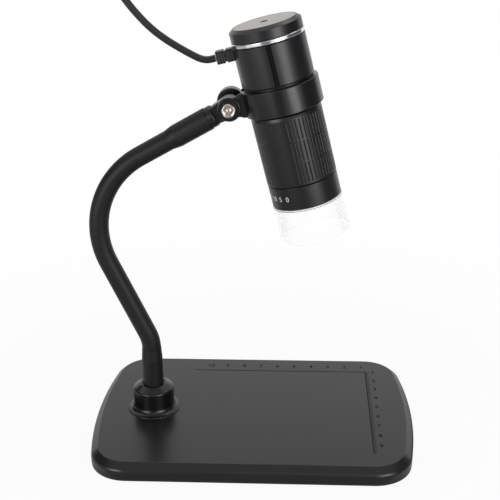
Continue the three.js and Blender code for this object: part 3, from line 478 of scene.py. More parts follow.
def padPrintedPaleInk():
    # pad-printed light-grey ink with slightly uneven cover
    return surface(
        "ink_pad_printed_pale", "black_plastic", "#c9c9cb", "#b4b4b7",
        cloud=1.2, grain=0.3, relief=0.002, roughness=0.5, spread=0.05,
    )


def goldFlashedBrass():
    # gold flash on the plug's spring contacts
    return surface(
        "brass_gold_flashed", "chrome", "#d9b25f", "#c99f4c",
        cloud=2, grain=0.4, relief=0.002, roughness=0.22, spread=0.04, Metallic=1,
    )


def mouldedNylon():
    # white nylon tongue inside the plug's shell
    return surface(
        "nylon_moulded_white", "clear_plastic", "#e4e2dc", "#dcd9d2",
        cloud=4, grain=0.5, relief=0.004, roughness=0.45, spread=0.05,
    )


looks = {  # by what they are for
    "base": sparkTexturedAbs(),
    "housing": satinPaintedAbs(),
    "polished": polishedAbs(),
    "capPaintedSheen": etchedAbsPaintedSheen(),
    "sheath": extrudedElastomer(),
    "shadeStrip": grooveShadeStrip(),
    "cord": extrudedPvc(),
    "foot": mouldedRubber(),
    "coatedSteel": powderCoatedSteel(),
    "chrome": chromedBrass(),
    "chromePaintedReflection": chromedBrassPaintedReflection(),
    "nickel": nickelPlatedSteel(),
    "zinc": zincPlatedSteel(),
    "frosted": frostedPolycarbonate(),
    "glass": coatedGlass(),
    "board": maskedGlassEpoxy(),
    "led": castEpoxy(),
    "darkInk": padPrintedInk(),
    "paleInk": padPrintedPaleInk(),
    "gold": goldFlashedBrass(),
    "nylon": mouldedNylon(),
}
print("materials made:", len(looks))


# Camera: a 75 mm view from a little right of the middle, half a metre in front

cameraView = {
    "place": (25.25, -506.91, 307.89),
    "down": 21.852 * degree,
    "pan": 3.003 * degree,
    "roll": -0.584 * degree,
    "lens": 74.79,
    "sensor": 36,
}


def addCamera():
    data = bpy.data.cameras.new("camera")
    data.lens, data.sensor_width = cameraView["lens"], cameraView["sensor"]
    camera = bpy.data.objects.new("camera", data)
    turn = Matrix.Rotation(cameraView["pan"], 4, "Z")
    turn = turn @ Matrix.Rotation(math.pi / 2 - cameraView["down"], 4, "X")
    turn = turn @ Matrix.Rotation(cameraView["roll"], 4, "Z")
    camera.matrix_world = Matrix.Translation(Vector(cameraView["place"]) * mm) @ turn
    scene.collection.objects.link(camera)
    scene.camera = camera


addCamera()


# Cord: free stretch from the gland to the table, in parts

cord = {
    "radius": 1.8,
    "sides": 24,
    "step": 1.5,
    "marginParts": 12,  # a count of parts at each end of a stretch
    "gland": ((-27.45, 0, 25.2), (-31.05, 0, 25.2)),  # in the barrel's frame
    "route": (
        (-24.4, 0, 205.3), (-28.6, 0, 207.2), (-34.7, 0, 210.6), (-41, 0, 214.5),
        (-46.4, 0, 218.5), (-50.8, 0, 222.5), (-54.4, 0, 226.4), (-57.6, 0, 230.2),
        (-60.6, 0, 234.2), (-65.2, -0.6, 240.6), (-72.2, -2.4, 248), (-81.6, -6, 253.8),
        (-92.6, -11.4, 256), (-104, -18.6, 253.6), (-114.6, -27, 246), (-122.8, -35, 234),
        (-128.6, -42, 218), (-132, -47.6, 198), (-134, -51.6, 174), (-135, -54.2, 148),
        (-135.6, -55.8, 120), (-136.4, -56.8, 92), (-137.8, -57.4, 66), (-139.8, -57.8, 43),
        (-142.6, -57.9, 27), (-147.2, -58, 15), (-153, -58, 9),
    ),
    "coilEnd": ((-159.5, -58, 6.85), (-163.1, -58, 6.85)),
    "parts": (  # name, the two bodies it runs between, and where it ends, in mm along the cord
        ("cord_at_barrel", "barrel", "clamp", 92),
        ("cord_over_head", "clamp", "neck_upper_stretch", 160),
        ("cord_upper_drop", "neck_upper_stretch", "neck_middle_stretch", 222),
        ("cord_middle_drop", "neck_middle_stretch", "neck_lower_stretch", 284),
        ("cord_lower_drop", "neck_lower_stretch", "stand", 1000),
    ),
}

coil = {
    "x": -167,
    "y": -32,
    "outerRadius": 26,
    "pitch": 4.15,
    "turns": 7.25,
    "stepsPerTurn": 40,
    "step": 3,
    "runIn": 3.6,
    "leadOut": 28,
    "leadSteps": 12,
    "leadRise": 0.8,  # the share of the way out over which it rises
    "climbTurns": 0.5,
    "low": 2.7,
    "high": 6.85,
    "leadEnd": 3.9,
}


def smoothStep(value, low, high):
    t = min(1, max(0, (value - low) / (high - low)))
    return t * t * (3 - 2 * t)


def freePath():
    inBarrel = [barrel @ Vector(point) / mm for point in cord["gland"]]
    onTable = [Vector(point) for point in (*cord["route"], *cord["coilEnd"])]
    return smoothLine(inBarrel + onTable, cord["step"])


def addFreeCord():
    path = freePath()
    rings = ringsAlong(path, cord["radius"], cord["sides"])
    run, places = 0, [0]
    for a, b in zip(path, path[1:]):
        run += (b - a).length
        places.append(run)
    start = 0
    for name, before, after, end in cord["parts"]:
        stop = max(i for i, place in enumerate(places) if place <= end)
        piece = made(name, loft(rings[start : stop + 1]), table, "cord")
        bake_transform(piece)
        if start == 0:
            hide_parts("cable")
        start = stop
    print("free cord:", round(places[-1]), "mm")


def coilPath():
    points = [Vector((coil["x"] + coil["runIn"], coil["y"] - coil["outerRadius"], coil["high"]))]
    steps = round(coil["turns"] * coil["stepsPerTurn"])
    for i in range(steps + 1):
        turns = i / coil["stepsPerTurn"]
        radius = coil["outerRadius"] - coil["pitch"] * min(turns, coil["turns"] - turns)
        angle = -math.pi / 2 - turns * fullTurn
        climb = smoothStep(turns - coil["turns"] / 2, -coil["climbTurns"] / 2, coil["climbTurns"] / 2)
        height = coil["high"] - climb * (coil["high"] - coil["low"])
        across = Vector((math.cos(angle), math.sin(angle), 0)) * radius
        points.append(Vector((coil["x"], coil["y"], height)) + across)
    for i in range(1, coil["leadSteps"] + 1):
        share = i / coil["leadSteps"]
        rise = smoothStep(share, 0, coil["leadRise"]) * (coil["leadEnd"] - coil["low"])
        x = coil["x"] - coil["outerRadius"]
        points.append(Vector((x, coil["y"] + share * coil["leadOut"], coil["low"] + rise)))
    return smoothLine(points, coil["step"])


tie = {
    "x": -167,
    "yFrom": -23.8,
    "yTo": -4.8,
    "top": 9.6,
    "thickness": 0.6,
    "width": 4,
    "bend": 1.2,
    "edge": 0.15,
}


def addTie():
    middle, half = (tie["yFrom"] + tie["yTo"]) / 2, (tie["yTo"] - tie["yFrom"]) / 2
    edge, width = tie["edge"], tie["width"]
    outer = [(x, y + tie["top"] / 2) for x, y in roundedBox(2 * half, tie["top"], tie["bend"])]
    inner = inset(outer, tie["thickness"])
    rings = []
    for depth, x in ((edge, 0), (0, edge), (0, width - edge), (edge, width)):
        rings.append([(p.x, p.y, x) for p in inset(outer, depth)])
    rings += [[(p.x, p.y, ring[0][2]) for p in inner] for ring in rings[::-1]]
    count = len(outer)
    faces = []
    for k in range(len(rings)):
        low, high = k * count, (k + 1) % len(rings) * count
        for i in range(count):
            j = (i + 1) % count
            faces.append([low + i, low + j, high + j, high + i])
    place = placedAt(Vector((tie["x"] - width / 2, middle, 0)) * mm, (1, 0, 0), (0, 1, 0))
    shape = [p for ring in rings for p in ring], faces
    return made("tie_strap", shape, place, "cord", "stand", ["cable_tie"])


plug = {  # a box is its width, its height, the radius of its corners and, for one, their steps
    "place": (-193, -3.7, 3.9),
    "noseLength": 8,
    "noseTip": 2.4,
    "noseEnd": 3.4,
    "noseRoot": 1,
    "ribs": 4,
    "ribSpan": (0.15, 0.85),  # where a rib starts and ends in its share of the nose
    "ribEdge": ((0.5, 0), (0.1, 0.15), (0, 0.4)),  # depth below the rib, distance from its end
    "bodyBox": (15.6, 7.8, 2),
    "bodyLength": 22,
    "bodyEdge": 1.1,
    "flutes": 5,
    "fluteBox": (1.1, 0.9, 0.4),
    "fluteEdge": 0.3,
    "fluteStart": 6,
    "fluteSpacing": 2.2,
    "shellWidth": 12,
    "shellHeight": 4.5,
    "shellWall": 0.4,
    "shellRound": 0.6,
    "shellEdge": 0.12,
    "shellStart": 28.3,
    "shellEnd": 40.3,
    "pocketGap": 0.4,
    "pocketRound": 0.5,
    "pocketDepth": 2,
    "windowBox": (2.2, 2.4, 0.3),
    "windowX": 2.4,
    "windowFromEnd": 6,
    "reach": 4,  # of the tools that cut the flutes and windows, to each side
    "tongueBox": (10.4, 1.8, 0.3),
    "tongueStart": 27.8,
    "tongueEnd": 37.2,
    "tongueEdge": 0.15,
    "tongueRise": 0.65,
    "contacts": 4,
    "contactBox": (1.1, 0.12, 0.05, 1),
    "contactStart": 29.5,
    "contactEnd": 36.6,
    "contactEdge": 0.03,
    "contactX": -3.45,
    "contactRise": -0.26,
    "contactSpacing": 2.3,
}


def addPlug():
    size = plug
    place = placedAt(Vector(size["place"]) * mm, (0, 1, 0), (1, 0, 0))
    upright = Matrix.Rotation(math.pi / 2, 4, "X")
    nose, end = size["noseLength"], size["noseLength"] + size["bodyLength"]
    profile = [(0, 0), (size["noseTip"], 0)]
    for k in range(size["ribs"]):  # strain relief: flexible rings that thicken towards the body
        low, high = (nose * (k + share) / size["ribs"] for share in size["ribSpan"])
        radius = size["noseTip"] + (size["noseEnd"] - size["noseTip"]) * (k + 1) / size["ribs"]
        profile += [(radius - depth, low + run) for depth, run in size["ribEdge"]]
        profile += [(radius - depth, high - run) for depth, run in size["ribEdge"][::-1]]
    root = nose + size["noseRoot"]
    relief = lathe([*profile, (size["noseEnd"] - size["ribEdge"][0][0], root), (0, root)], sides=40)
    grip = meshed("plug_grip", slab(roundedBox(*size["bodyBox"]), nose, end, size["bodyEdge"], 5), place)
    gap, depth, reach = size["pocketGap"], size["pocketDepth"], size["reach"]
    pocket = roundedBox(size["shellWidth"] + gap, size["shellHeight"] + gap, size["pocketRound"])
    tools = [meshed("pocket", slab(pocket, end - depth, end + depth, fineEdge), place)]
    for side in (-1, 1):
        for k in range(size["flutes"]):
            flute = slab(roundedBox(*size["fluteBox"]), -reach, reach, size["fluteEdge"])
            height = nose + size["fluteStart"] + size["fluteSpacing"] * k
            spot = shift(side * size["bodyBox"][0] / 2, 0, height)
            tools.append(meshed("flute", moved(flute, spot @ upright), place))
    grip = combined(combined(grip, tools), [meshed("relief", relief, place)], "UNION")
    finished(grip, "cord", "stand", ["usb_plug_body"])

    shellLow, shellHigh, wall = size["shellStart"], size["shellEnd"], size["shellWall"]
    outline = roundedBox(size["shellWidth"], size["shellHeight"], size["shellRound"])
    shell = meshed("plug_shell", slab(outline, shellLow, shellHigh, size["shellEdge"], 2), place)
    inner = roundedBox(size["shellWidth"] - 2 * wall, size["shellHeight"] - 2 * wall, softEdge)
    hollow = slab(inner, shellLow - overrun, shellHigh + overrun, hairEdge, 1)
    tools = [meshed("hollow", hollow, place)]
    for side in (-1, 1):  # the two latch windows that such a shell has in each flat face
        window = moved(slab(roundedBox(*size["windowBox"]), -reach, reach, hairEdge, 1), upright)
        spot = shift(side * size["windowX"], 0, shellHigh - size["windowFromEnd"])
        tools.append(meshed("window", moved(window, spot), place))
    finished(combined(shell, tools), "chrome", "stand", ["usb_plug_shell"])

    box, low, high = roundedBox(*size["tongueBox"]), size["tongueStart"], size["tongueEnd"]
    tongue = moved(slab(box, low, high, size["tongueEdge"]), shift(y=size["tongueRise"]))
    made("plug_tongue", tongue, place, "nylon", "stand")
    box, low, high = roundedBox(*size["contactBox"]), size["contactStart"], size["contactEnd"]
    strips = []
    for k in range(size["contacts"]):
        spot = shift(size["contactX"] + size["contactSpacing"] * k, size["contactRise"])
        strips.append(moved(slab(box, low, high, size["contactEdge"], 1), spot))
    made("plug_contacts", joined(*strips), place, "gold", "stand")
    return ["plug_grip", "plug_shell", "plug_tongue", "plug_contacts"]


def addCoil():
    path = coilPath()
    shape = loft(ringsAlong(path, cord["radius"], cord["sides"], (0, 0, 1)))
    piece = made("cord_coil", shape, table, "cord", "stand", ["cable_coil"])
    withPieces = [addTie().name, *addPlug()]
    print("coil:", round(lengthOf(path)), "mm")


addFreeCord()
addCoil()


# Base: a hollow moulding with bowed ends, a soft shoulder and a slope round its top

base = {
    "length": 175.7,
    "depth": 121,
    "bow": 7.3,  # how far each end bulges out
    "cornerRadius": 20.6,
    "top": 9.4,
    "rim": 0.15,  # height of the lower edge above the table
    "draft": 0.2,
    "wall": 2.2,
    "roof": 2.4,
    "shoulder": 6.1,  # the height where the side turns in
    "slopeInset": 3.9,
    "shoulderRound": 3.2,
    "topRound": 0.65,
    "flatRing": 3,  # how far the flat top's outer ring reaches in
    "rimRound": 0.15,
    "draftEnd": 1.2,
    "draftRound": 0.8,
    "studHole": 4.3,
    "endSteps": 16,
    "cornerSteps": 14,
}


def baseOutline(inwards):
    half = base["depth"] / 2
    endRadius = (half**2 + base["bow"] ** 2) / (2 * base["bow"])
    endX = base["length"] / 2 - endRadius
    cornerY = half - base["cornerRadius"]
    cornerX = endX + math.sqrt((endRadius - base["cornerRadius"]) ** 2 - cornerY**2)
    meet = math.atan2(cornerY, cornerX - endX)
    quarter = arc(endX, 0, endRadius - inwards, 0, meet, base["endSteps"])[:-1]
    radius = base["cornerRadius"] - inwards
    quarter += arc(cornerX, cornerY, radius, meet, math.pi / 2, base["cornerSteps"])
    right = [(x, -y) for x, y in quarter[:0:-1]] + quarter
    return right + [(-x, -y) for x, y in right]


def addBase():
    size = base
    low, top, wall = size["rim"], size["top"], size["wall"]
    draft, slope = size["draft"], size["slopeInset"]
    levels = [(wall + slope, top - size["roof"]), (wall + draft, size["shoulder"]), (wall + draft, low)]
    levels += rounded([
        (wall + draft, low),
        (draft, low, size["rimRound"]),
        (0, low + size["draftEnd"], size["draftRound"]),
        (0, size["shoulder"], size["shoulderRound"]),
        (slope, top, size["topRound"]),
        (slope + size["flatRing"], top),
    ], steps=6)[1:]
    rings = [[(x, y, z) for x, y in baseOutline(inwards)] for inwards, z in levels]
    shell = meshed("base_moulding", loft(rings), table)
    hole = meshed("stud_hole", moved(rod(size["studHole"], 0, through, 48), shift(collar["x"])), table)
    finished(combined(shell, [hole]), "base", "stand", ["base_top_shell"])


rubberFoot = {"radius": 6, "height": 1.1, "edge": 0.35, "x": 56.85, "y": 37.5}
screw = {
    "x": 69.85,
    "y": 43.5,
    "low": 0.95,
    "headRadius": 2.7,
    "headEdge": 0.15,
    "headRim": 0.3,
    "headHeight": 1.5,
    "shank": 1.2,
    "length": 4.85,
    "slot": 0.7,
}


def addUnderside():
    size = rubberFoot
    profile = rounded([
        (0, 0), (size["radius"], 0, size["edge"]), (size["radius"], size["height"]), (0, size["height"]),
    ])
    head, slot, length = screw["headRadius"], screw["slot"], screw["length"]
    body = lathe(rounded([
        (0, 0), (head, 0, screw["headEdge"]), (head, screw["headRim"]),
        (screw["shank"], screw["headHeight"]), (screw["shank"], length), (0, length),
    ]), sides=32)
    corners = [(1, -1), (1, 1), (-1, 1), (-1, -1)]
    for number, (x, y) in enumerate(corners, 1):
        foot = moved(lathe(profile, sides=64), shift(x * size["x"], y * size["y"]))
        made(f"foot_{number}", foot, table, "foot", "stand", [f"rubber_foot_{number}"])
        spot = shift(x * screw["x"], y * screw["y"], screw["low"])
        piece = meshed(f"screw_{number}", moved(body, spot), table)
        tools = []
        for width, height in ((head, slot), (slot, head)):
            cut = slab(roundedBox(width, height, smallEdge), -overrun, slot, fineEdge, 1)
            tools.append(meshed("slot", moved(cut, spot), table))
        finished(combined(piece, tools), "zinc", "stand", [f"base_screw_{number}"])


# Scale printed on the base: fine lines and ticks, with plain numbers beside them

scale = {
    "corner": (64.2, 42.6),  # where its two lines meet
    "left": -36.9,
    "front": -44.5,
    "line": 0.4,
    "tickSpacing": 1,
    "tick": 1.1,
    "tickHalf": 0.08,
    "sideTickHalf": 0.13,  # wider than the real ones, so that their dark band shows
    "sideTickMore": 0.5,
    "halfTick": 1.7,
    "longTick": 2.3,
    "thickness": 0.03,
    "sunk": 0.01,
    "numberSize": 4.3,
    "numberPrint": 0.06,
    "numberBold": 0.04,
    "numbers": (((62.06, 48.5), (-10, 0), 10), ((68.7, 42.5), (0, -10), 9)),  # first, step, count
}


def bar(x1, y1, x2, y2):
    low, high = base["top"] - scale["sunk"], base["top"] + scale["thickness"]
    ring = [(x1, y1), (x2, y1), (x2, y2), (x1, y2)]
    return loft([[(x, y, z) for x, y in ring] for z in (low, high)])


def tickReach(k):
    if k % 10 == 0:
        return scale["longTick"]
    return scale["halfTick"] if k % 5 == 0 else scale["tick"]


def textShape(text, size, depth, bold=0):  # a number as a closed mesh, centred on its middle
    curve = bpy.data.curves.new("number", "FONT")
    curve.body, curve.size, curve.extrude, curve.offset = text, size, depth / 2, bold
    curve.align_x, curve.align_y = "CENTER", "CENTER"
    curve.resolution_u = 4
    carrier = bpy.data.objects.new("number", curve)
    scene.collection.objects.link(carrier)
    seen = carrier.evaluated_get(bpy.context.evaluated_depsgraph_get())
    mesh = bpy.data.meshes.new_from_object(seen)
    shape = [tuple(v.co) for v in mesh.vertices], [list(f.vertices) for f in mesh.polygons]
    bpy.data.objects.remove(carrier)
    return shape


def addScale():
    x, y = scale["corner"]
    half, spacing = scale["line"] / 2, scale["tickSpacing"]
    shapes = [bar(scale["left"], y - half, x, y + half), bar(x - half, scale["front"], x + half, y)]
    half = scale["tickHalf"]
    for k in range(int(x - scale["left"]) + 1):
        at = x - k * spacing
        shapes.append(bar(at - half, y, at + half, y + tickReach(k)))
    half = scale["sideTickHalf"]
    for k in range(int(y - scale["front"]) + 1):
        at = y - k * spacing
        shapes.append(bar(x, at - half, x + tickReach(k) + scale["sideTickMore"], at + half))
    for (x, y), (stepX, stepY), count in scale["numbers"]:
        for k in range(count):
            number = textShape(str(k + 1), scale["numberSize"], scale["numberPrint"], scale["numberBold"])
            shapes.append(moved(number, shift(x + k * stepX, y + k * stepY, base["top"])))
    made("scale_print", joined(*shapes), table, "darkInk", "stand")


# Neck: collar, ferrules and a smooth sheath that curves along the neck

collar = {
    "x": -56,  # and the whole neck's foot
    "floor": 9.4,
    "bore": 6,
    "flangeRadius": 14.9,
    "flangeEdge": 0.5,
    "flangeTaper": 0.4,
    "radius": 11.25,
    "flareRadius": 3,
    "cylinderTop": 22,
    "rim": 1.3,
    "coneRadius": 7.1,
    "coneTop": 24.6,
    "coneRound": 0.4,
}
ferrule = {
    "radius": 5.7,
    "topRadius": 5.25,
    "taperFrom": 40,
    "taperRound": 8,
    "top": 46,
    "stud": 4,
    "studLow": 2.7,
    "socket": 3,
    "socketGap": 0.06,
    "edge": 0.15,
}
neck = {
    "radius": 5.15,
    "stretches": (  # length and turn of each, from the lower ferrule up
        (22.8 * 24.4 * degree, -24.4 * degree),
        (45, 0),
        (45.9 * 85.2 * degree, 85.2 * degree),
        (53.2, 0),
    ),
    "step": 1.2,
    "sides": 48,
    "parts": (  # name, bodies, where it ends, and where the bend starts and stops, in mm
        ("sheath_low", "stand", "neck_lower_stretch", 20.9, 0.6, 18.8),
        ("sheath_middle", "neck_lower_stretch", "neck_middle_stretch", 54, 22, 42.4),
        ("sheath_high", "neck_middle_stretch", "neck_upper_stretch", 143.5, 66, 112),
    ),
    "start": -2.5,
}
upperFerrule = {  # its places are measured down from the hinge's bolt
    "radius": 5.9,
    "start": 35,
    "flare": 4,
    "flareRound": 5,
    "lip": 0.12,
    "end": 12.3,
    "bore": 5.2,
    "edge": 0.25,
    "endWall": 4,
    "stemGap": 0.1,
}
neckEye = {
    "thickness": 6,
    "radius": 5.6,
    "rootHalf": 4.4,
    "rootDepth": 0.8,
    "flatEdge": 0.5,
    "band": 5.6,
    "bandEnd": 8.4,
    "bandEdge": 0.15,
    "bandRound": 0.9,
    "stem": 4.2,
    "stemLength": 12,
    "stemEdge": 0.3,
    "hole": 2.3,
    "holeReach": 9,
}
neckLength = sum(length for length, _ in neck["stretches"])


def neckAt(distance):  # place and heading on the neck's centreline, above the lower ferrule's top
    x, z, heading, left = collar["x"], ferrule["top"], 0, distance
    for length, turn in neck["stretches"]:
        run = min(left, length)
        bend = turn * run / length
        chord = run * math.sin(bend / 2) / (bend / 2) if bend else run
        x += chord * math.sin(heading + bend / 2)
        z += chord * math.cos(heading + bend / 2)
        heading += bend
        left -= run
    return Vector((x, 0, z)), heading


def addCollar():
    size = collar
    place = Matrix.Translation((size["x"] * mm, 0, 0)) @ table
    low, bend = size["floor"] + size["flangeEdge"], size["flareRadius"]
    profile = rounded([
        (size["bore"], size["floor"]), (size["flangeRadius"], size["floor"], hairEdge),
        (size["flangeRadius"] - size["flangeTaper"], low, softEdge), (size["radius"] + bend, low),
    ])[:-1]
    profile += arc(size["radius"] + bend, low + bend, bend, -math.pi / 2, -math.pi, 10)
    profile += rounded([
        (size["radius"], low + bend),
        (size["radius"], size["cylinderTop"], size["rim"]),
        (size["coneRadius"], size["coneTop"], size["coneRound"]),
        (size["bore"], size["coneTop"]),
    ], steps=6)[1:]
    made("collar_moulding", lathe([*profile, profile[0]]), place, "polished", "stand", ["neck_collar"])

    size = ferrule
    bore, bottom = neck["radius"] + size["socketGap"], size["top"] - size["socket"]
    profile = rounded([
        (0, size["studLow"]), (size["stud"], size["studLow"]), (size["stud"], collar["floor"]),
        (size["radius"], collar["floor"]), (size["radius"], size["taperFrom"], size["taperRound"]),
        (size["topRadius"], size["top"], size["edge"]),
        (bore, size["top"], size["edge"]), (bore, bottom), (0, bottom),
    ])
    made("ferrule_low", lathe(profile, sides=64), place, "sheath", "stand", ["neck_sleeve_lower"])


def addSheath():
    end = neck["parts"][-1][3]
    count = round((end - neck["start"]) / neck["step"])
    places = [neck["start"] + (end - neck["start"]) * i / count for i in range(count + 1)]
    path = [neckAt(place)[0] for place in places]
    rings = ringsAlong(path, neck["radius"], neck["sides"])
    start = 0
    stands = [["neck_root", "neck_lower"], ["neck_middle"], ["neck_upper"]]
    for (name, before, after, stopAt, bendFrom, bendTo), nodes in zip(neck["parts"], stands):
        stop = min(range(count + 1), key=lambda i: abs(places[i] - stopAt))
        piece = made(name, loft(rings[start : stop + 1]), table, "sheath", None, nodes)
        neckAt(bendFrom)[0] * mm
        neckAt(bendTo)[0] * mm
        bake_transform(piece)
        start = stop


def addNeckEnd():
    _, heading = neckAt(neckLength)
    place = placedAt(pivotPlace, (math.sin(heading), 0, math.cos(heading)), (0, 1, 0))
    size = upperFerrule
    bore, low, high = size["bore"], -size["start"], -size["end"]
    stem, wall = neckEye["stem"] + size["stemGap"], high - size["endWall"]
    profile = rounded([
        (bore, low), (bore + size["lip"], low, hairEdge),
        (size["radius"], low + size["flare"], size["flareRound"]), (size["radius"], high, size["edge"]),
        (stem, high), (stem, wall), (bore, wall),
    ], closed=True)
    body = "neck_upper_stretch"
    made("ferrule_high", lathe(profile, sides=64), place, "sheath", body, ["neck_sleeve_upper"])

    size = neckEye
    low, high, end = high - size["stemLength"], high + upperFerrule["stemGap"], -size["bandEnd"]
    band = lathe(rounded([
        (0, low), (size["stem"], low, size["stemEdge"]), (size["stem"], high),
        (size["band"], high, size["bandEdge"]), (size["band"], end, size["bandRound"]), (0, end),
    ]), sides=64)
    piece = meshed("neck_eye_forged", band, place)
    root = end - size["rootDepth"]
    outline = [(-size["rootHalf"], root), (size["rootHalf"], root)]
    outline += arc(0, 0, size["radius"], 0, math.pi, 32)
    half = size["thickness"] / 2
    flat = moved(slab(outline, -half, half, size["flatEdge"], 4), Matrix.Rotation(math.pi / 2, 4, "X"))
    tongue = meshed("tongue", moved(flat, Matrix.Rotation(math.pi / 2, 4, "Z")), place)
    piece = combined(piece, [tongue], "UNION")
    hole = meshed("hole", rod(size["hole"], -size["holeReach"], size["holeReach"]), hinge)
    finished(combined(piece, [hole]), "housing", body, ["neck_eye"])


# Hinge hardware, drawn along the bolt from the front ear to the thumb nut

boltHead = {  # its places run along the bolt from between the ears, and negative ones lie in front
    "radius": 3.6,
    "seat": -7.4,
    "seatChamfer": (0.15, 0.35),
    "face": -9.8,
    "faceInset": 0.55,
    "faceRound": 0.35,
    "edge": 0.6,
    "edgeStep": 0.3,
    "dish": 0.35,
    "rimDish": 0.6,  # the share of the dish at the socket's rim
    "teeth": 32,  # of the knurl round the head
    "toothDepth": 0.14,
    "toothMargin": 0.2,
    "shank": 2,
    "end": 16.1,
    "endRound": 0.4,
    "socket": 2.45,
    "socketDepth": 1.1,
    "dome": 1.75,
    "domeRise": 0.75,
    "domeBend": (0.5, 0.78, 0.6),  # its shares of the dome's radius and rise, and its round
    "domeRoot": 0.5,
}
nut = {
    "radius": 7.2,
    "front": 8.5,
    "frontInset": 1.2,
    "frontStep": 0.5,
    "frontEnd": 1.1,
    "frontRound": 0.4,
    "back": 15.5,
    "backRound": 0.25,
    "backRim": 4.9,
    "dish": 4.4,
    "dishDepth": 0.7,
    "grips": 48,
    "gripDepth": 0.07,
    "gripFrom": 0.8,  # the share of the edge's round that they reach over
    "gripPower": 0.6,  # under one, so that the ridges are wider than the lines between them
    "edge": 0.8,
    "bore": 2.3,
}


def addBolt():
    size = boltHead
    radius, face, seat = size["radius"], size["face"], size["seat"]
    rim = face + size["edge"]

    def knurl(angle, height, r):
        onRim = rim < height < seat - size["toothMargin"] and r > radius - fineEdge
        wave = 0.5 + 0.5 * math.cos(size["teeth"] * angle)
        return -size["toothDepth"] * wave if onRim else 0

    across, along = size["seatChamfer"]
    profile = rounded([
        (0, face + size["dish"]), (size["socket"], face + size["dish"] * size["rimDish"], softEdge),
        (radius - size["faceInset"], face, size["faceRound"]), (radius, rim, size["faceRound"]),
        (radius, rim + size["edgeStep"]), (radius, seat - along), (radius - across, seat),
        (size["shank"], seat), (size["shank"], size["end"], size["endRound"]), (0, size["end"]),
    ])
    bolt = meshed("bolt_nickelled", lathe(profile, size["teeth"] * 6, relief=knurl), hinge)
    low = face + size["socketDepth"]
    socket = slab(arc(0, 0, size["socket"], 0, fullTurn, 6)[:-1], face - overrun, low, fineEdge, 1)
    bolt = combined(bolt, [meshed("socket", socket, hinge)])
    across, up, bend = size["domeBend"]
    width, rise, root = size["dome"], size["domeRise"], low + size["domeRoot"]
    dome = lathe(rounded([
        (0, low - rise), (width * across, low - rise * up, bend),
        (width, low - fineEdge, smallEdge), (width, root), (0, root),
    ]), 48)
    finished(combined(bolt, [meshed("dome", dome, hinge)], "UNION"), "nickel", "clamp", ["hinge_bolt"])


def addNut():
    size = nut
    radius, front, back = size["radius"], size["front"], size["back"]

    def grip(angle, height, r):
        onRim = r > radius - size["edge"] * size["gripFrom"]
        wave = 0.5 + 0.5 * math.cos(size["grips"] * angle)
        return -size["gripDepth"] * wave ** size["gripPower"] if onRim else 0

    step, bottom = size["frontStep"], back - size["dishDepth"]
    profile = rounded([
        (size["bore"], front), (radius - size["frontInset"], front, softEdge),
        (radius - step, front + step, softEdge), (radius, front + size["frontEnd"], size["frontRound"]),
        (radius, back, size["edge"]), (size["backRim"], back, size["backRound"]),
        (size["dish"], bottom, size["backRound"]), (size["bore"], bottom),
    ], closed=True)
    shape = lathe(profile, size["grips"] * 8, relief=grip)
    made("thumb_nut_knurled", shape, hinge, "polished", "thumb_nut", ["hinge_thumb_nut"], sharp=50)


# Clamp: a ring that reaches round the housing's seat, and two ears for the neck's eye

clamp = {
    "inner": 17.3,
    "innerEdge": 0.2,
    "wall": 2.5,
    "half": 6.6,  # half of the ring's height
    "edge": 0.45,
    "reach": 26.8,  # from the barrel's axis to the bolt's
    "rootHalf": 6.2,  # half of an ear's width where it leaves the ring
    "rootIn": 0.6,
    "rootOut": 0.4,
    "rootRound": 1.2,
    "waistOut": 2.8,
    "waistIn": 0.6,
    "waistRound": 2,
    "tipIn": 0.4,
    "boss": 6.1,
    "bossOuter": 7.1,
    "bossRoot": 1,
    "bossEdge": 0.8,
    "earOuter": 6.3,
    "earInner": 3.3,
    "earEdge": 1.3,
    "bore": 2.3,
    "slotLength": 14,
    "slotOut": 5.2,
    "slotHalf": 9,
}


def addClamp():
    size = clamp
    inner, half, edge, root = size["inner"], size["half"], size["edge"], size["rootHalf"]
    outer = inner + size["wall"]
    profile = rounded([
        (inner, -half, size["innerEdge"]), (outer, -half, edge), (outer, half, edge),
        (inner, half, size["innerEdge"]),
    ], closed=True)
    ring = meshed("clamp_moulding", lathe(profile, sides=roundSides), barrel)
    tip, foot = size["boss"] - size["tipIn"], -inner - size["rootIn"]
    upper = rounded([
        (foot, -root), (foot, root), (-outer - size["rootOut"], root, size["rootRound"]),
        (-outer - size["waistOut"], tip - size["waistIn"], size["waistRound"]), (-size["reach"], tip),
    ], steps=6)
    outline = upper + arc(-size["reach"], 0, tip, math.pi / 2, 3 * math.pi / 2, 32)[1:]
    outline += [(x, -y) for x, y in reversed(upper[2:-1])]
    circle = arc(-size["reach"], 0, size["boss"], 0, fullTurn, 64)[:-1]
    tools = []
    for side in (-1, 1):
        low, high = sorted((side * size["earInner"], side * size["earOuter"]))
        tools.append(meshed("ear", slab(outline, low, high, size["earEdge"], 6), clampSide))
        low, high = sorted((side * (size["earInner"] + size["bossRoot"]), side * size["bossOuter"]))
        tools.append(meshed("boss", slab(circle, low, high, size["bossEdge"], 5), clampSide))
    piece = combined(ring, tools, "UNION")
    cuts = [meshed("bore", rod(size["bore"], -through, through), hinge)]
    gap = roundedBox(size["slotLength"], 2 * size["earInner"], smallEdge, 1)
    slot = slab(gap, -size["slotHalf"], size["slotHalf"], fineEdge, 1)
    cuts.append(meshed("slot", moved(slot, shift(-inner - size["slotOut"])), barrel))
    finished(combined(piece, cuts), "polished", "clamp", ["clamp_ring"])
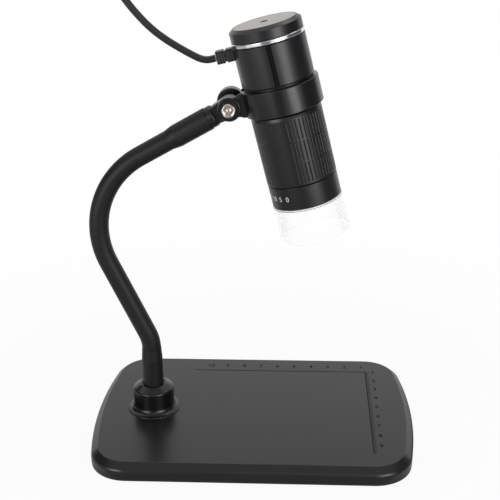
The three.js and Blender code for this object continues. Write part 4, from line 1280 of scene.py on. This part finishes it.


# Barrel: housing with its groove and a dull black strip of painted shade in it, chromed rings, one drawn
# near-white as painted reflection, etched cap with a disc of painted sheen, ribbed focus ring, nose and
# clear cap

housing = {  # heights on the barrel are measured from the clamp's middle
    "radius": 18.25,
    "top": 28.3,
    "seatRadius": 17,
    "seatHalf": 7.2,
    "seatGap": 0.3,
    "seatEdge": 0.8,
    "seatRound": 0.35,
    "wall": 2.45,
    "sleeve": 14.5,  # guide for the lens, inside the focus ring
    "sleeveWall": 1.7,
    "sleeveEnd": -48,
    "shelf": -5,  # where the wide bore ends, under the sensor's board
    "cableHeight": 25.2,
    "cableHole": 2.3,
    "cableHoleFrom": 14,
    "pinSlot": (2.9, 9.9, 1.4),  # its width, its length and the radius of its ends
    "pinHeight": -33,
    "sides": 192,  # and in the groove, finer steps of its own
    "groove": {
        "azimuth": -88.9 * degree,
        "half": 1.1,
        "edge": 0.15,
        "depth": 1.1,
        "skin": 1,  # it is pressed into what lies this near to the outer radius
        "shadeStrip": 0.2,
        "shadeStripFrom": 1,
        "shadeStripGap": 0.02,
        "spanShare": 1.2,  # of its width, drawn in fine steps
        "steps": 40,
    },
}
glandFrame = placedAt(barrel @ Vector((0, 0, housing["cableHeight"])), -barrelOut, (0, 1, 0))


def addHousing():
    size, groove = housing, housing["groove"]
    radius, top, seat, seatHalf = size["radius"], size["top"], size["seatRadius"], size["seatHalf"]

    def awayFrom(angle):  # from the groove's middle
        return abs((angle - groove["azimuth"] + math.pi) % fullTurn - math.pi)

    def grooved(angle, height, r):
        if r < radius - groove["skin"] or height < seatHalf:
            return 0
        away = awayFrom(angle) * radius
        return -groove["depth"] * (1 - smoothStep(away, groove["half"] - groove["edge"], groove["half"]))

    angles = [fullTurn * i / size["sides"] for i in range(size["sides"])]
    span, steps = groove["spanShare"] * groove["half"] / radius, groove["steps"]
    keep = [a for a in angles if awayFrom(a) > span]
    fine = [(groove["azimuth"] + span * (2 * i / steps - 1)) % fullTurn for i in range(steps + 1)]
    inner, sleeve = radius - size["wall"], size["sleeve"]
    hollow = sleeve - size["sleeveWall"]
    profile = rounded([
        (hollow, size["sleeveEnd"]), (sleeve, size["sleeveEnd"], smallEdge), (sleeve, -seatHalf),
        (seat, -seatHalf, softEdge), (seat, seatHalf + size["seatGap"], smallEdge),
        (radius, seatHalf + size["seatEdge"], size["seatRound"]), (radius, top, softEdge), (inner, top),
        (inner, size["shelf"]), (hollow, size["shelf"]),
    ], closed=True)
    shape = lathe(profile, angles=sorted(keep + fine), relief=grooved)
    piece = meshed("housing_moulding", shape, barrel)
    hole = rod(size["cableHole"], size["cableHoleFrom"], through, 32)
    turn = shift(z=size["pinHeight"]) @ Matrix.Rotation(-math.pi / 2, 4, "X")
    slot = moved(slab(roundedBox(*size["pinSlot"]), 0, through, fineEdge, 1), turn)
    cuts = [meshed("cable_hole", hole, glandFrame), meshed("pin_slot", slot, barrel)]
    finished(combined(piece, cuts), "housing", "barrel", ["barrel_housing"])

    # a dull black strip laid in the groove: painted shade for the groove's depth
    deep, middle = radius - groove["depth"], groove["azimuth"]
    half = (groove["half"] - groove["edge"]) / radius
    line = arc(0, 0, deep + groove["shadeStrip"], middle - half, middle + half, 6)
    line += arc(0, 0, deep + groove["shadeStripGap"], middle + half, middle - half, 6)
    strip = loft([[(x, y, z) for x, y in line] for z in (seatHalf + groove["shadeStripFrom"], top - hairEdge)])
    made("groove_shadeStrip", strip, barrel, "shadeStrip", "barrel")


def turned(name, corners, look, body, stands=(), sides=roundSides):  # a ring round the barrel's axis
    return made(name, lathe(rounded(corners, closed=True), sides), barrel, look, body, stands)


topTrim = {"radius": 18.45, "inner": 15.8, "low": 28.6, "high": 30.55, "edge": 0.4}
noseTrim = {"radius": 18.15, "inner": 15.8, "low": -56.35, "high": -55.4, "edge": 0.12, "topEdge": 0.15}
trimLine = {"from": -0.26, "to": -0.06, "depth": 0.3, "round": 0.1, "gap": 0.01, "fill": (0.05, 0.4)}


def addTrims():
    size = topTrim
    inner, radius, low, high = size["inner"], size["radius"], size["low"], size["high"]
    corners = [(inner, low), (radius, low, size["edge"]), (radius, high, size["edge"]), (inner, high)]
    turned("trim_top", corners, "chrome", "barrel", ["top_trim_ring"])

    size, line = noseTrim, trimLine
    inner, radius, low, high = size["inner"], size["radius"], size["low"], size["high"]
    middle, bottom = (low + high) / 2, radius - line["depth"]
    start, end = middle + line["from"], middle + line["to"]
    # the nose trim's near-white colour is painted reflection of the white surroundings
    turned("trim_nose", [  # two fine beads with a line between them
        (inner, low), (radius, low, size["edge"]), (radius, start, line["round"]),
        (bottom, start), (bottom, end), (radius, end, line["round"]),
        (radius, high, size["topEdge"]), (inner, high),
    ], "chromePaintedReflection", "barrel", ["nose_trim_ring"])
    start, end = start + line["gap"], end - line["gap"]
    outer, inner = (radius - depth for depth in line["fill"])
    fill = [(inner, start), (outer, start), (outer, end), (inner, end), (inner, start)]
    made("trim_nose_line", lathe(fill, sides=roundSides), barrel, "housing", "barrel")


topCap = {
    "radius": 18.05,
    "low": 30.6,
    "lowEdge": 0.25,
    "high": 37,
    "spigotLow": 24.6,
    "spigot": 15.5,
    "chamferWidth": 2.2,
    "chamferHeight": 1.6,
    "chamferRound": 0.3,
    "rimRound": 0.25,
    "disc": 15.6,
    "discDepth": 0.25,
    "discGap": 0.06,
    "discSunk": 0.03,
    "discEdge": 0.08,
    "windowEdge": 0.12,
    "window": 1.9,
    "windowDepth": 2.6,
    "lens": 1.6,
    "lensRise": 0.3,
    "lensEdge": 1.8,
    "lensTop": 1.95,
    "lensRound": 0.5,
    "notch": 3.2,
    "notchFrom": 13.7,
    "notchTo": 19,
}


def addTopCap():
    size = topCap
    radius, low, high = size["radius"], size["low"], size["high"]
    disc, window = size["disc"], size["window"]
    floor, bottom = high - size["discDepth"], high - size["windowDepth"]
    profile = rounded([
        (0, size["spigotLow"]), (size["spigot"], size["spigotLow"]), (size["spigot"], low),
        (radius, low, size["lowEdge"]), (radius, high - size["chamferHeight"], size["chamferRound"]),
        (radius - size["chamferWidth"], high, size["rimRound"]), (disc, high, hairEdge),
        (disc, floor), (window, floor), (window, bottom), (0, bottom),
    ])
    piece = meshed("cap_moulding", lathe(profile, sides=roundSides), barrel)
    notch = meshed("notch", rod(size["notch"], size["notchFrom"], size["notchTo"]), glandFrame)
    finished(combined(piece, [notch]), "housing", "barrel", ["top_cap"])
    outer, top = disc - size["discGap"], high - size["discSunk"]
    # the disc's pale taupe is painted sheen, standing in for the white surroundings it reflects at a low
    # angle
    turned("cap_disc_painted_sheen", [
        (window, floor), (outer, floor), (outer, top, size["discEdge"]), (window, top, size["windowEdge"]),
    ], "capPaintedSheen", "barrel")
    low, lens = bottom + size["lensRise"], size["lens"]
    shape = lathe(rounded([
        (0, low), (lens, low), (lens, low + size["lensEdge"], size["lensRound"]),
        (0, low + size["lensTop"]),
    ]), sides=32)
    made("cap_window", shape, barrel, "polished", "barrel", ["indicator_lens"])


focus = {
    "top": -7.5,
    "length": 35.8,
    "smooth": 18,
    "ribDepth": 0.22,
    "bore": 14.8,
    "rim": 1.1,  # the plain band below the ribs
    "topRim": 2,
    "chamfer": 0.48,
    "lowRim": 0.8,
    "lowEdge": 0.35,
    "topStep": 0.4,
    "topEdge": 0.3,
    "rimEdge": 0.25,
    "rowGap": 0.4,
    "rows": 3,
    "runOut": 0.7,  # of a rib, at each of its ends
    "panels": 2,
    "ribs": 20,
    "ribAngle": 6.7 * degree,
    "azimuth": -26 * degree,
    "across": (0, 0.15, 0.3, 0.4, 0.5, 0.6, 0.7, 0.85),  # points over one rib
    "cut": 0.16,  # the part of a rib's width that slopes down to the line beside it
    "runSteps": (0, 0.25, 0.5, 0.75, 1),
    "plainSteps": 20,  # between the panels
}


def addFocusRing():
    size = focus
    top, smooth, azimuth = size["top"], size["smooth"], size["azimuth"]
    low, shoulder = top - size["length"], top - size["topRim"]
    pitch = (size["length"] - size["rim"] - size["topRim"] + size["rowGap"]) / size["rows"]
    panelAngle, ribbed = fullTurn / size["panels"], size["ribs"] * size["ribAngle"]
    heights = []
    for row in range(size["rows"]):
        start = low + size["rim"] + row * pitch
        end = start + pitch - size["rowGap"]
        heights += [(start + size["runOut"] * t, t) for t in size["runSteps"]]
        heights += [(end - size["runOut"] * t, t) for t in size["runSteps"][::-1]]
    raised = {round(height, 3): math.sqrt(1 - (1 - t) ** 2) for height, t in heights}

    def ribs(angle, height, radius):
        inRow = raised.get(round(height, 3), 0)
        along = (angle - azimuth + ribbed / 2) % panelAngle
        if radius < smooth - fineEdge or not inRow or along >= ribbed:
            return 0
        t = (along / size["ribAngle"] + 0.5) % 1
        return size["ribDepth"] * inRow * (smoothStep(min(t, 1 - t), 0, size["cut"]) - 1)

    start = low + size["lowRim"]
    profile = rounded([(size["bore"], low), (smooth, low, size["lowEdge"]), (smooth, start)])
    profile += [(smooth, height) for height, _ in heights]
    profile += rounded([
        (smooth, shoulder), (smooth, shoulder + size["topStep"], size["topEdge"]),
        (smooth - size["chamfer"], top, size["rimEdge"]), (size["bore"], top),
    ])[1:]
    angles = []
    for panel in range(size["panels"]):
        first = azimuth - ribbed / 2 + panel * panelAngle
        for rib in range(size["ribs"]):
            angles += [first + size["ribAngle"] * (rib + t) for t in size["across"]]
        rest, count = panelAngle - ribbed, size["plainSteps"]
        angles += [first + ribbed + rest * i / count for i in range(count)]
    shape = lathe([*profile, profile[0]], angles=angles, relief=ribs)
    made("focus_grip", shape, barrel, "housing", "focus", ["focus_ring"], sharp=12)


nose = {
    "radius": 17.9,
    "top": -43.6,
    "end": -55.1,
    "edge": 0.4,
    "lowEdge": 0.2,
    "bore": 14.8,
    "boreEnd": -48.3,
    "socket": 15.8,
    "shelf": 13.6,
    "shelfEnd": -51,
    "numberSize": 3.6,
    "numberHeight": -49.4,
    "numberPrint": 0.03,
    "numberBold": 0.06,
    "numberSunk": 0.005,
    "numbers": ((-165, "20"), (-148, "10"), (-133, "5"), (-119, "0")),  # azimuth and text
}


def addNose():
    size = nose
    radius, top, end = size["radius"], size["top"], size["end"]
    bore, shelf = size["bore"], size["shelf"]
    turned("nose_moulding", [
        (shelf, size["shelfEnd"]), (size["socket"], size["shelfEnd"]), (size["socket"], end),
        (radius, end, size["lowEdge"]), (radius, top, size["edge"]),
        (bore, top), (bore, size["boreEnd"]), (shelf, size["boreEnd"]),
    ], "housing", "barrel", ["nose_ring"])
    shapes = []
    for azimuth, text in size["numbers"]:
        flat, faces = textShape(text, size["numberSize"], size["numberPrint"], size["numberBold"])
        points = []
        for x, y, z in flat:  # wrapped round the ring
            angle = azimuth * degree + x / radius
            r = radius + z + size["numberPrint"] / 2 - size["numberSunk"]
            points.append((r * math.cos(angle), r * math.sin(angle), size["numberHeight"] + y))
        shapes.append((points, faces))
    made("nose_numbers", joined(*shapes), barrel, "paleInk", "barrel")


clearCap = {
    "collar": 15.5,
    "collarWall": 1.3,
    "collarTop": -53.2,
    "collarEdge": 0.2,
    "shoulder": -56.8,
    "shoulderRound": 0.5,
    "innerRound": 0.8,
    "end": -74.6,
    "topRadius": 17.3,
    "endRadius": 18.6,
    "wall": 1.4,
    "rim": 0.6,
}


def addClearCap():
    size = clearCap
    collarTop, shoulder, end, wall = size["collarTop"], size["shoulder"], size["end"], size["wall"]
    outer, edge, bend = size["collar"], size["collarEdge"], size["innerRound"]
    inner = outer - size["collarWall"]
    turned("cap_frosted", [
        (inner, collarTop, edge), (inner, shoulder - edge, bend),
        (size["topRadius"] - wall, shoulder - wall, bend), (size["endRadius"] - wall, end, size["rim"]),
        (size["endRadius"], end, size["rim"]), (size["topRadius"], shoulder, size["shoulderRound"]),
        (outer, shoulder), (outer, collarTop, edge),
    ], "frosted", "nose_cap", ["clear_cap"])


optics = {
    "boardTop": -51.3,
    "boardLow": -52.5,
    "boardInner": 8.9,
    "boardOuter": 15.5,
    "leds": 8,
    "ledCircle": 10.9,
    "ledRadius": 1.3,
    "ledTop": 1.17,
    "ledHeight": 1.5,
    "ledRim": 0.3,
    "ledRound": 0.7,
    "tubeTop": -29.5,
    "tubeBore": 4.5,
    "tube": 8.2,
    "tubeEnd": -52,
    "seat": 5.8,
    "seatTop": -47.7,
    "flange": 12.5,
    "flangeEnd": -36.5,
    "pin": 1.1,
    "pinFrom": 11,
    "pinTo": 15.6,
    "lensLow": ((0, -50.2), (1.5, -50.13), (3, -49.9), (4.4, -49.5), (5.5, -49.2)),
    "lensHigh": ((5.5, -48), (4.4, -48), (3, -47.75), (1.5, -47.6), (0, -47.5)),
}


def addOptics():
    size = optics
    low, high = size["boardLow"], size["boardTop"]
    inner, outer = size["boardInner"], size["boardOuter"]
    corners = [(inner, low, fineEdge), (outer, low, fineEdge), (outer, high), (inner, high)]
    turned("led_ring_board", corners, "board", "barrel", ["led_board"], sides=96)
    tip, radius = low - size["ledHeight"], size["ledRadius"]
    dome = lathe(rounded([
        (0, tip), (size["ledTop"], tip, size["ledRound"]), (radius, low - size["ledRim"]),
        (radius, low), (0, low),
    ]), sides=24)
    spots = arc(0, 0, size["ledCircle"], 0, fullTurn, size["leds"])[:-1]
    made("led_domes", joined(*(moved(dome, shift(x, y)) for x, y in spots)), barrel, "led", "barrel")

    top, end, bore, seat = size["tubeTop"], size["tubeEnd"], size["tubeBore"], size["seat"]
    tube, flange, flangeEnd = size["tube"], size["flange"], size["flangeEnd"]
    tube = rounded([
        (bore, top), (bore, size["seatTop"]), (seat, size["seatTop"]), (seat, end, smallEdge),
        (tube, end, softEdge), (tube, flangeEnd), (flange, flangeEnd, smallEdge), (flange, top, smallEdge),
    ], closed=True)
    carrier = meshed("lens_tube", lathe(tube, sides=96), barrel)
    turn = shift(z=housing["pinHeight"]) @ Matrix.Rotation(-math.pi / 2, 4, "X")
    pin = meshed("pin", moved(rod(size["pin"], size["pinFrom"], size["pinTo"], 24), turn), barrel)
    finished(combined(carrier, [pin], "UNION"), "coatedSteel", "lens", ["lens_carrier"])
    bulge = lathe([*size["lensLow"], *size["lensHigh"]], sides=64)
    made("lens_front", bulge, barrel, "glass", "lens", ["lens_glass"])


gland = {
    "start": 17.6,  # how far from the barrel's axis it begins
    "seat": 18.3,
    "seatFrom": 18,
    "seatTo": 32,
    "block": 4.2,
    "waist": 0.9,
    "waistHalf": 2.6,
    "half": 3.25,
    "corner": 1.1,
    "ribs": 3,
    "rootDepth": 0.2,
    "ribSlope": (0.1, 0.12),  # distance from a rib's end, and depth below its top
    "ribRun": 0.3,
    "spigot": ((0, 14.3), (2.9, 14.3), (2.9, 15.5), (2, 15.5), (2, 19), (0, 19)),
}


def addGland():
    size = gland
    half, rib, (run, depth) = size["half"], size["block"] / size["ribs"], size["ribSlope"]
    levels = []
    for k in range(2):  # two blocks with a deep waist between them, each finely ribbed
        start = size["start"] + (size["block"] + size["waist"]) * k
        for n in range(size["ribs"]):
            low, high = start + rib * n, start + rib * (n + 1)
            edge = size["waistHalf"] if k and not n else half - size["rootDepth"]
            levels += [(low, edge), (low + run, half - depth), (low + size["ribRun"], half)]
            levels += [(high - size["ribRun"], half), (high - run, half - depth)]
        levels.append((start + size["block"], size["waistHalf"]))
    rings = []
    for z, reach in levels:
        outline = roundedBox(2 * reach, 2 * reach, size["corner"] * reach / half, 6)
        rings.append([(x, y, z) for x, y in outline])
    piece = meshed("gland_moulded", loft(rings), glandFrame)
    seat = meshed("seat", rod(size["seat"], size["seatFrom"], size["seatTo"], roundSides), barrel)
    spigot = meshed("spigot", lathe(size["spigot"], sides=40), glandFrame)
    finished(combined(combined(piece, [seat]), [spigot], "UNION"), "cord", "barrel", ["cable_gland"])


insideLooks = {  # solids that stay as they are, seen from below or when the cap is off
    "base_bottom_plate": "base",
    "ballast_plate": "zinc",
    "collar_washer": "zinc",
    "collar_nut": "zinc",
    "hinge_washer": "zinc",
    "sensor_board": "board",
}


def dressInside():
    for node, look in insideLooks.items():
        materials = frame["nodes"][node].data.materials
        materials.clear()
        materials.append(looks[look])


addBase()
addUnderside()
addScale()
print("base made")
addCollar()
addSheath()
addNeckEnd()
print("neck made")
addBolt()
addNut()
addClamp()
print("hinge and clamp made")
addHousing()
addTrims()
addTopCap()
addFocusRing()
addNose()
addClearCap()
addOptics()
addGland()
dressInside()
print("barrel made")


# Studio: pale table, white surroundings, two soft lamps in front and one behind, grey cards all round

studio = {
    "floorRadius": 420,
    "floorColour": "#eeeeee",
    "floorGlow": 0.92,  # how much of the floor near the object shows as plain white
    "fade": (160, 360),  # from and to, in mm from the middle: beyond it the floor is all white
    "skyStrength": 0.62,
    "cards": (  # grey, azimuth from and to, distance in mm, low and high
        ("#85868a", -107, -79, 1000, -700, 500),
        ("#8c8b8e", -27, 36, 1000, -500, 150),
        ("#5c5c60", -27, 36, 1000, 150, 900),
        ("#bcbcbe", 140, 200, 1000, -500, 150),
        ("#48484c", 140, 207, 1000, 150, 900),
        ("#68686c", -153, -100, 1000, 380, 1500),
        ("#d4d4d8", 50, 130, 1000, 620, 1500),
    ),
    "boards": (  # grey, x from and to, y from and to, height
        ("#c0c0c0", -1200, 1200, -1200, 50, 950),
        # the next two boards, lying just above the floor in front of and to the right of the base, are
        # painted shade: grey sheets seen only in reflections, standing in for the floor's shade there
        ("#a0a0a0", -400, 91, -400, -61, 0.6),
        ("#7c7c7c", 91, 400, -400, 60, 0.6),
    ),
    "lamps": (  # name, azimuth, distance, height, width, tall, watts
        ("lamp_right", -53, 900, 250, 400, 400, 2.3),
        ("lamp_left", -128, 900, 250, 400, 400, 2.1),
        ("lamp_behind", 90, 420, 1000, 700, 260, 1.4),
    ),
    "aim": (0, 0, 110),
}


def addFloor():
    look = bpy.data.materials.new("paper_sheet_matt")
    tree = cleared(look)
    where = addNode(tree, "ShaderNodeTexCoord").outputs["Object"]
    far = addNode(tree, "ShaderNodeVectorMath", {0: where}, operation="LENGTH").outputs["Value"]
    near, end = (distance * mm for distance in studio["fade"])
    fade = addNode(tree, "ShaderNodeMapRange", {"Value": far, "From Min": near, "From Max": end})
    fade.inputs["To Min"].default_value = studio["floorGlow"]
    light = addNode(tree, "ShaderNodeLightPath")
    either = addNode(tree, "ShaderNodeMath", {0: light.outputs["Is Camera Ray"]}, operation="MAXIMUM")
    tree.links.new(light.outputs["Is Transmission Ray"], either.inputs[1])
    either, fade = either.outputs[0], fade.outputs[0]
    share = addNode(tree, "ShaderNodeMath", {0: either, 1: fade}, operation="MULTIPLY").outputs[0]
    paper = addNode(tree, "ShaderNodeBsdfDiffuse", {"Color": linear(studio["floorColour"])}).outputs[0]
    glow = addNode(tree, "ShaderNodeEmission", {"Color": white, "Strength": 1}).outputs[0]
    mix = addNode(tree, "ShaderNodeMixShader", {0: share, 1: paper, 2: glow})
    addNode(tree, "ShaderNodeOutputMaterial", {"Surface": mix.outputs[0]})
    ring = [(x, y, 0) for x, y in arc(0, 0, studio["floorRadius"], 0, fullTurn, 128)[:-1]]
    floor = meshed("floor", (ring, [list(range(len(ring)))]), table)
    floor.data.materials.append(look)


def reflectedGreyCard(grey):
    # dyed felt on a stiff card: seen only in what reflects, as one even grey; on the two low boards this
    # grey is painted shade, the floor's shade beside the base
    look = bpy.data.materials.new("card_reflected_grey")
    tree = cleared(look)
    felt = addNode(tree, "ShaderNodeEmission", {"Color": linear(grey), "Strength": 1})
    addNode(tree, "ShaderNodeOutputMaterial", {"Surface": felt.outputs[0]})
    return look


def addCards():
    shapes = []
    for grey, start, end, distance, low, high in studio["cards"]:
        line = arc(0, 0, distance, start * degree, end * degree, 12)
        count = len(line)
        points = [(x, y, z) for z in (low, high) for x, y in line]
        shapes.append((grey, points, [[i, i + 1, count + i + 1, count + i] for i in range(count - 1)]))
    for grey, x1, x2, y1, y2, z in studio["boards"]:
        shapes.append((grey, [(x1, y1, z), (x2, y1, z), (x2, y2, z), (x1, y2, z)], [[0, 1, 2, 3]]))
    for number, (grey, points, faces) in enumerate(shapes, 1):
        card = meshed(f"card_{number}", (points, faces), table)
        card.data.materials.append(reflectedGreyCard(grey))
        card.visible_camera = card.visible_diffuse = card.visible_shadow = False
        card.visible_transmission = False


def addLamps():
    aim = Vector(studio["aim"]) * mm
    for name, azimuth, distance, height, width, tall, watts in studio["lamps"]:
        data = bpy.data.lights.new(name, "AREA")
        data.shape, data.size, data.size_y = "RECTANGLE", width * mm, tall * mm
        data.energy = watts
        lamp = bpy.data.objects.new(name, data)
        a = azimuth * degree
        spot = Vector((distance * math.cos(a), distance * math.sin(a), height)) * mm
        facing = placedAt(spot, spot - aim, (-math.sin(a), math.cos(a), 0))
        lamp.matrix_world = facing @ Matrix.Scale(1 / mm, 4)
        scene.collection.objects.link(lamp)


def addSky():
    scene.world = bpy.data.worlds.new("studio")
    tree = cleared(scene.world)
    light = addNode(tree, "ShaderNodeLightPath")
    seen = addNode(tree, "ShaderNodeMath", {0: light.outputs["Is Camera Ray"]}, operation="MAXIMUM")
    tree.links.new(light.outputs["Is Glossy Ray"], seen.inputs[1])
    either = addNode(tree, "ShaderNodeMath", {0: seen.outputs[0]}, operation="MAXIMUM")
    tree.links.new(light.outputs["Is Transmission Ray"], either.inputs[1])
    soft, bright = (
        addNode(tree, "ShaderNodeBackground", {"Color": white, "Strength": strength}).outputs[0]
        for strength in (studio["skyStrength"], 1)
    )
    mix = addNode(tree, "ShaderNodeMixShader", {0: either.outputs[0], 1: soft, 2: bright})
    addNode(tree, "ShaderNodeOutputWorld", {"Surface": mix.outputs[0]})


addFloor()
addCards()
addLamps()
addSky()
scene.view_settings.view_transform = "Standard"
print("studio made")
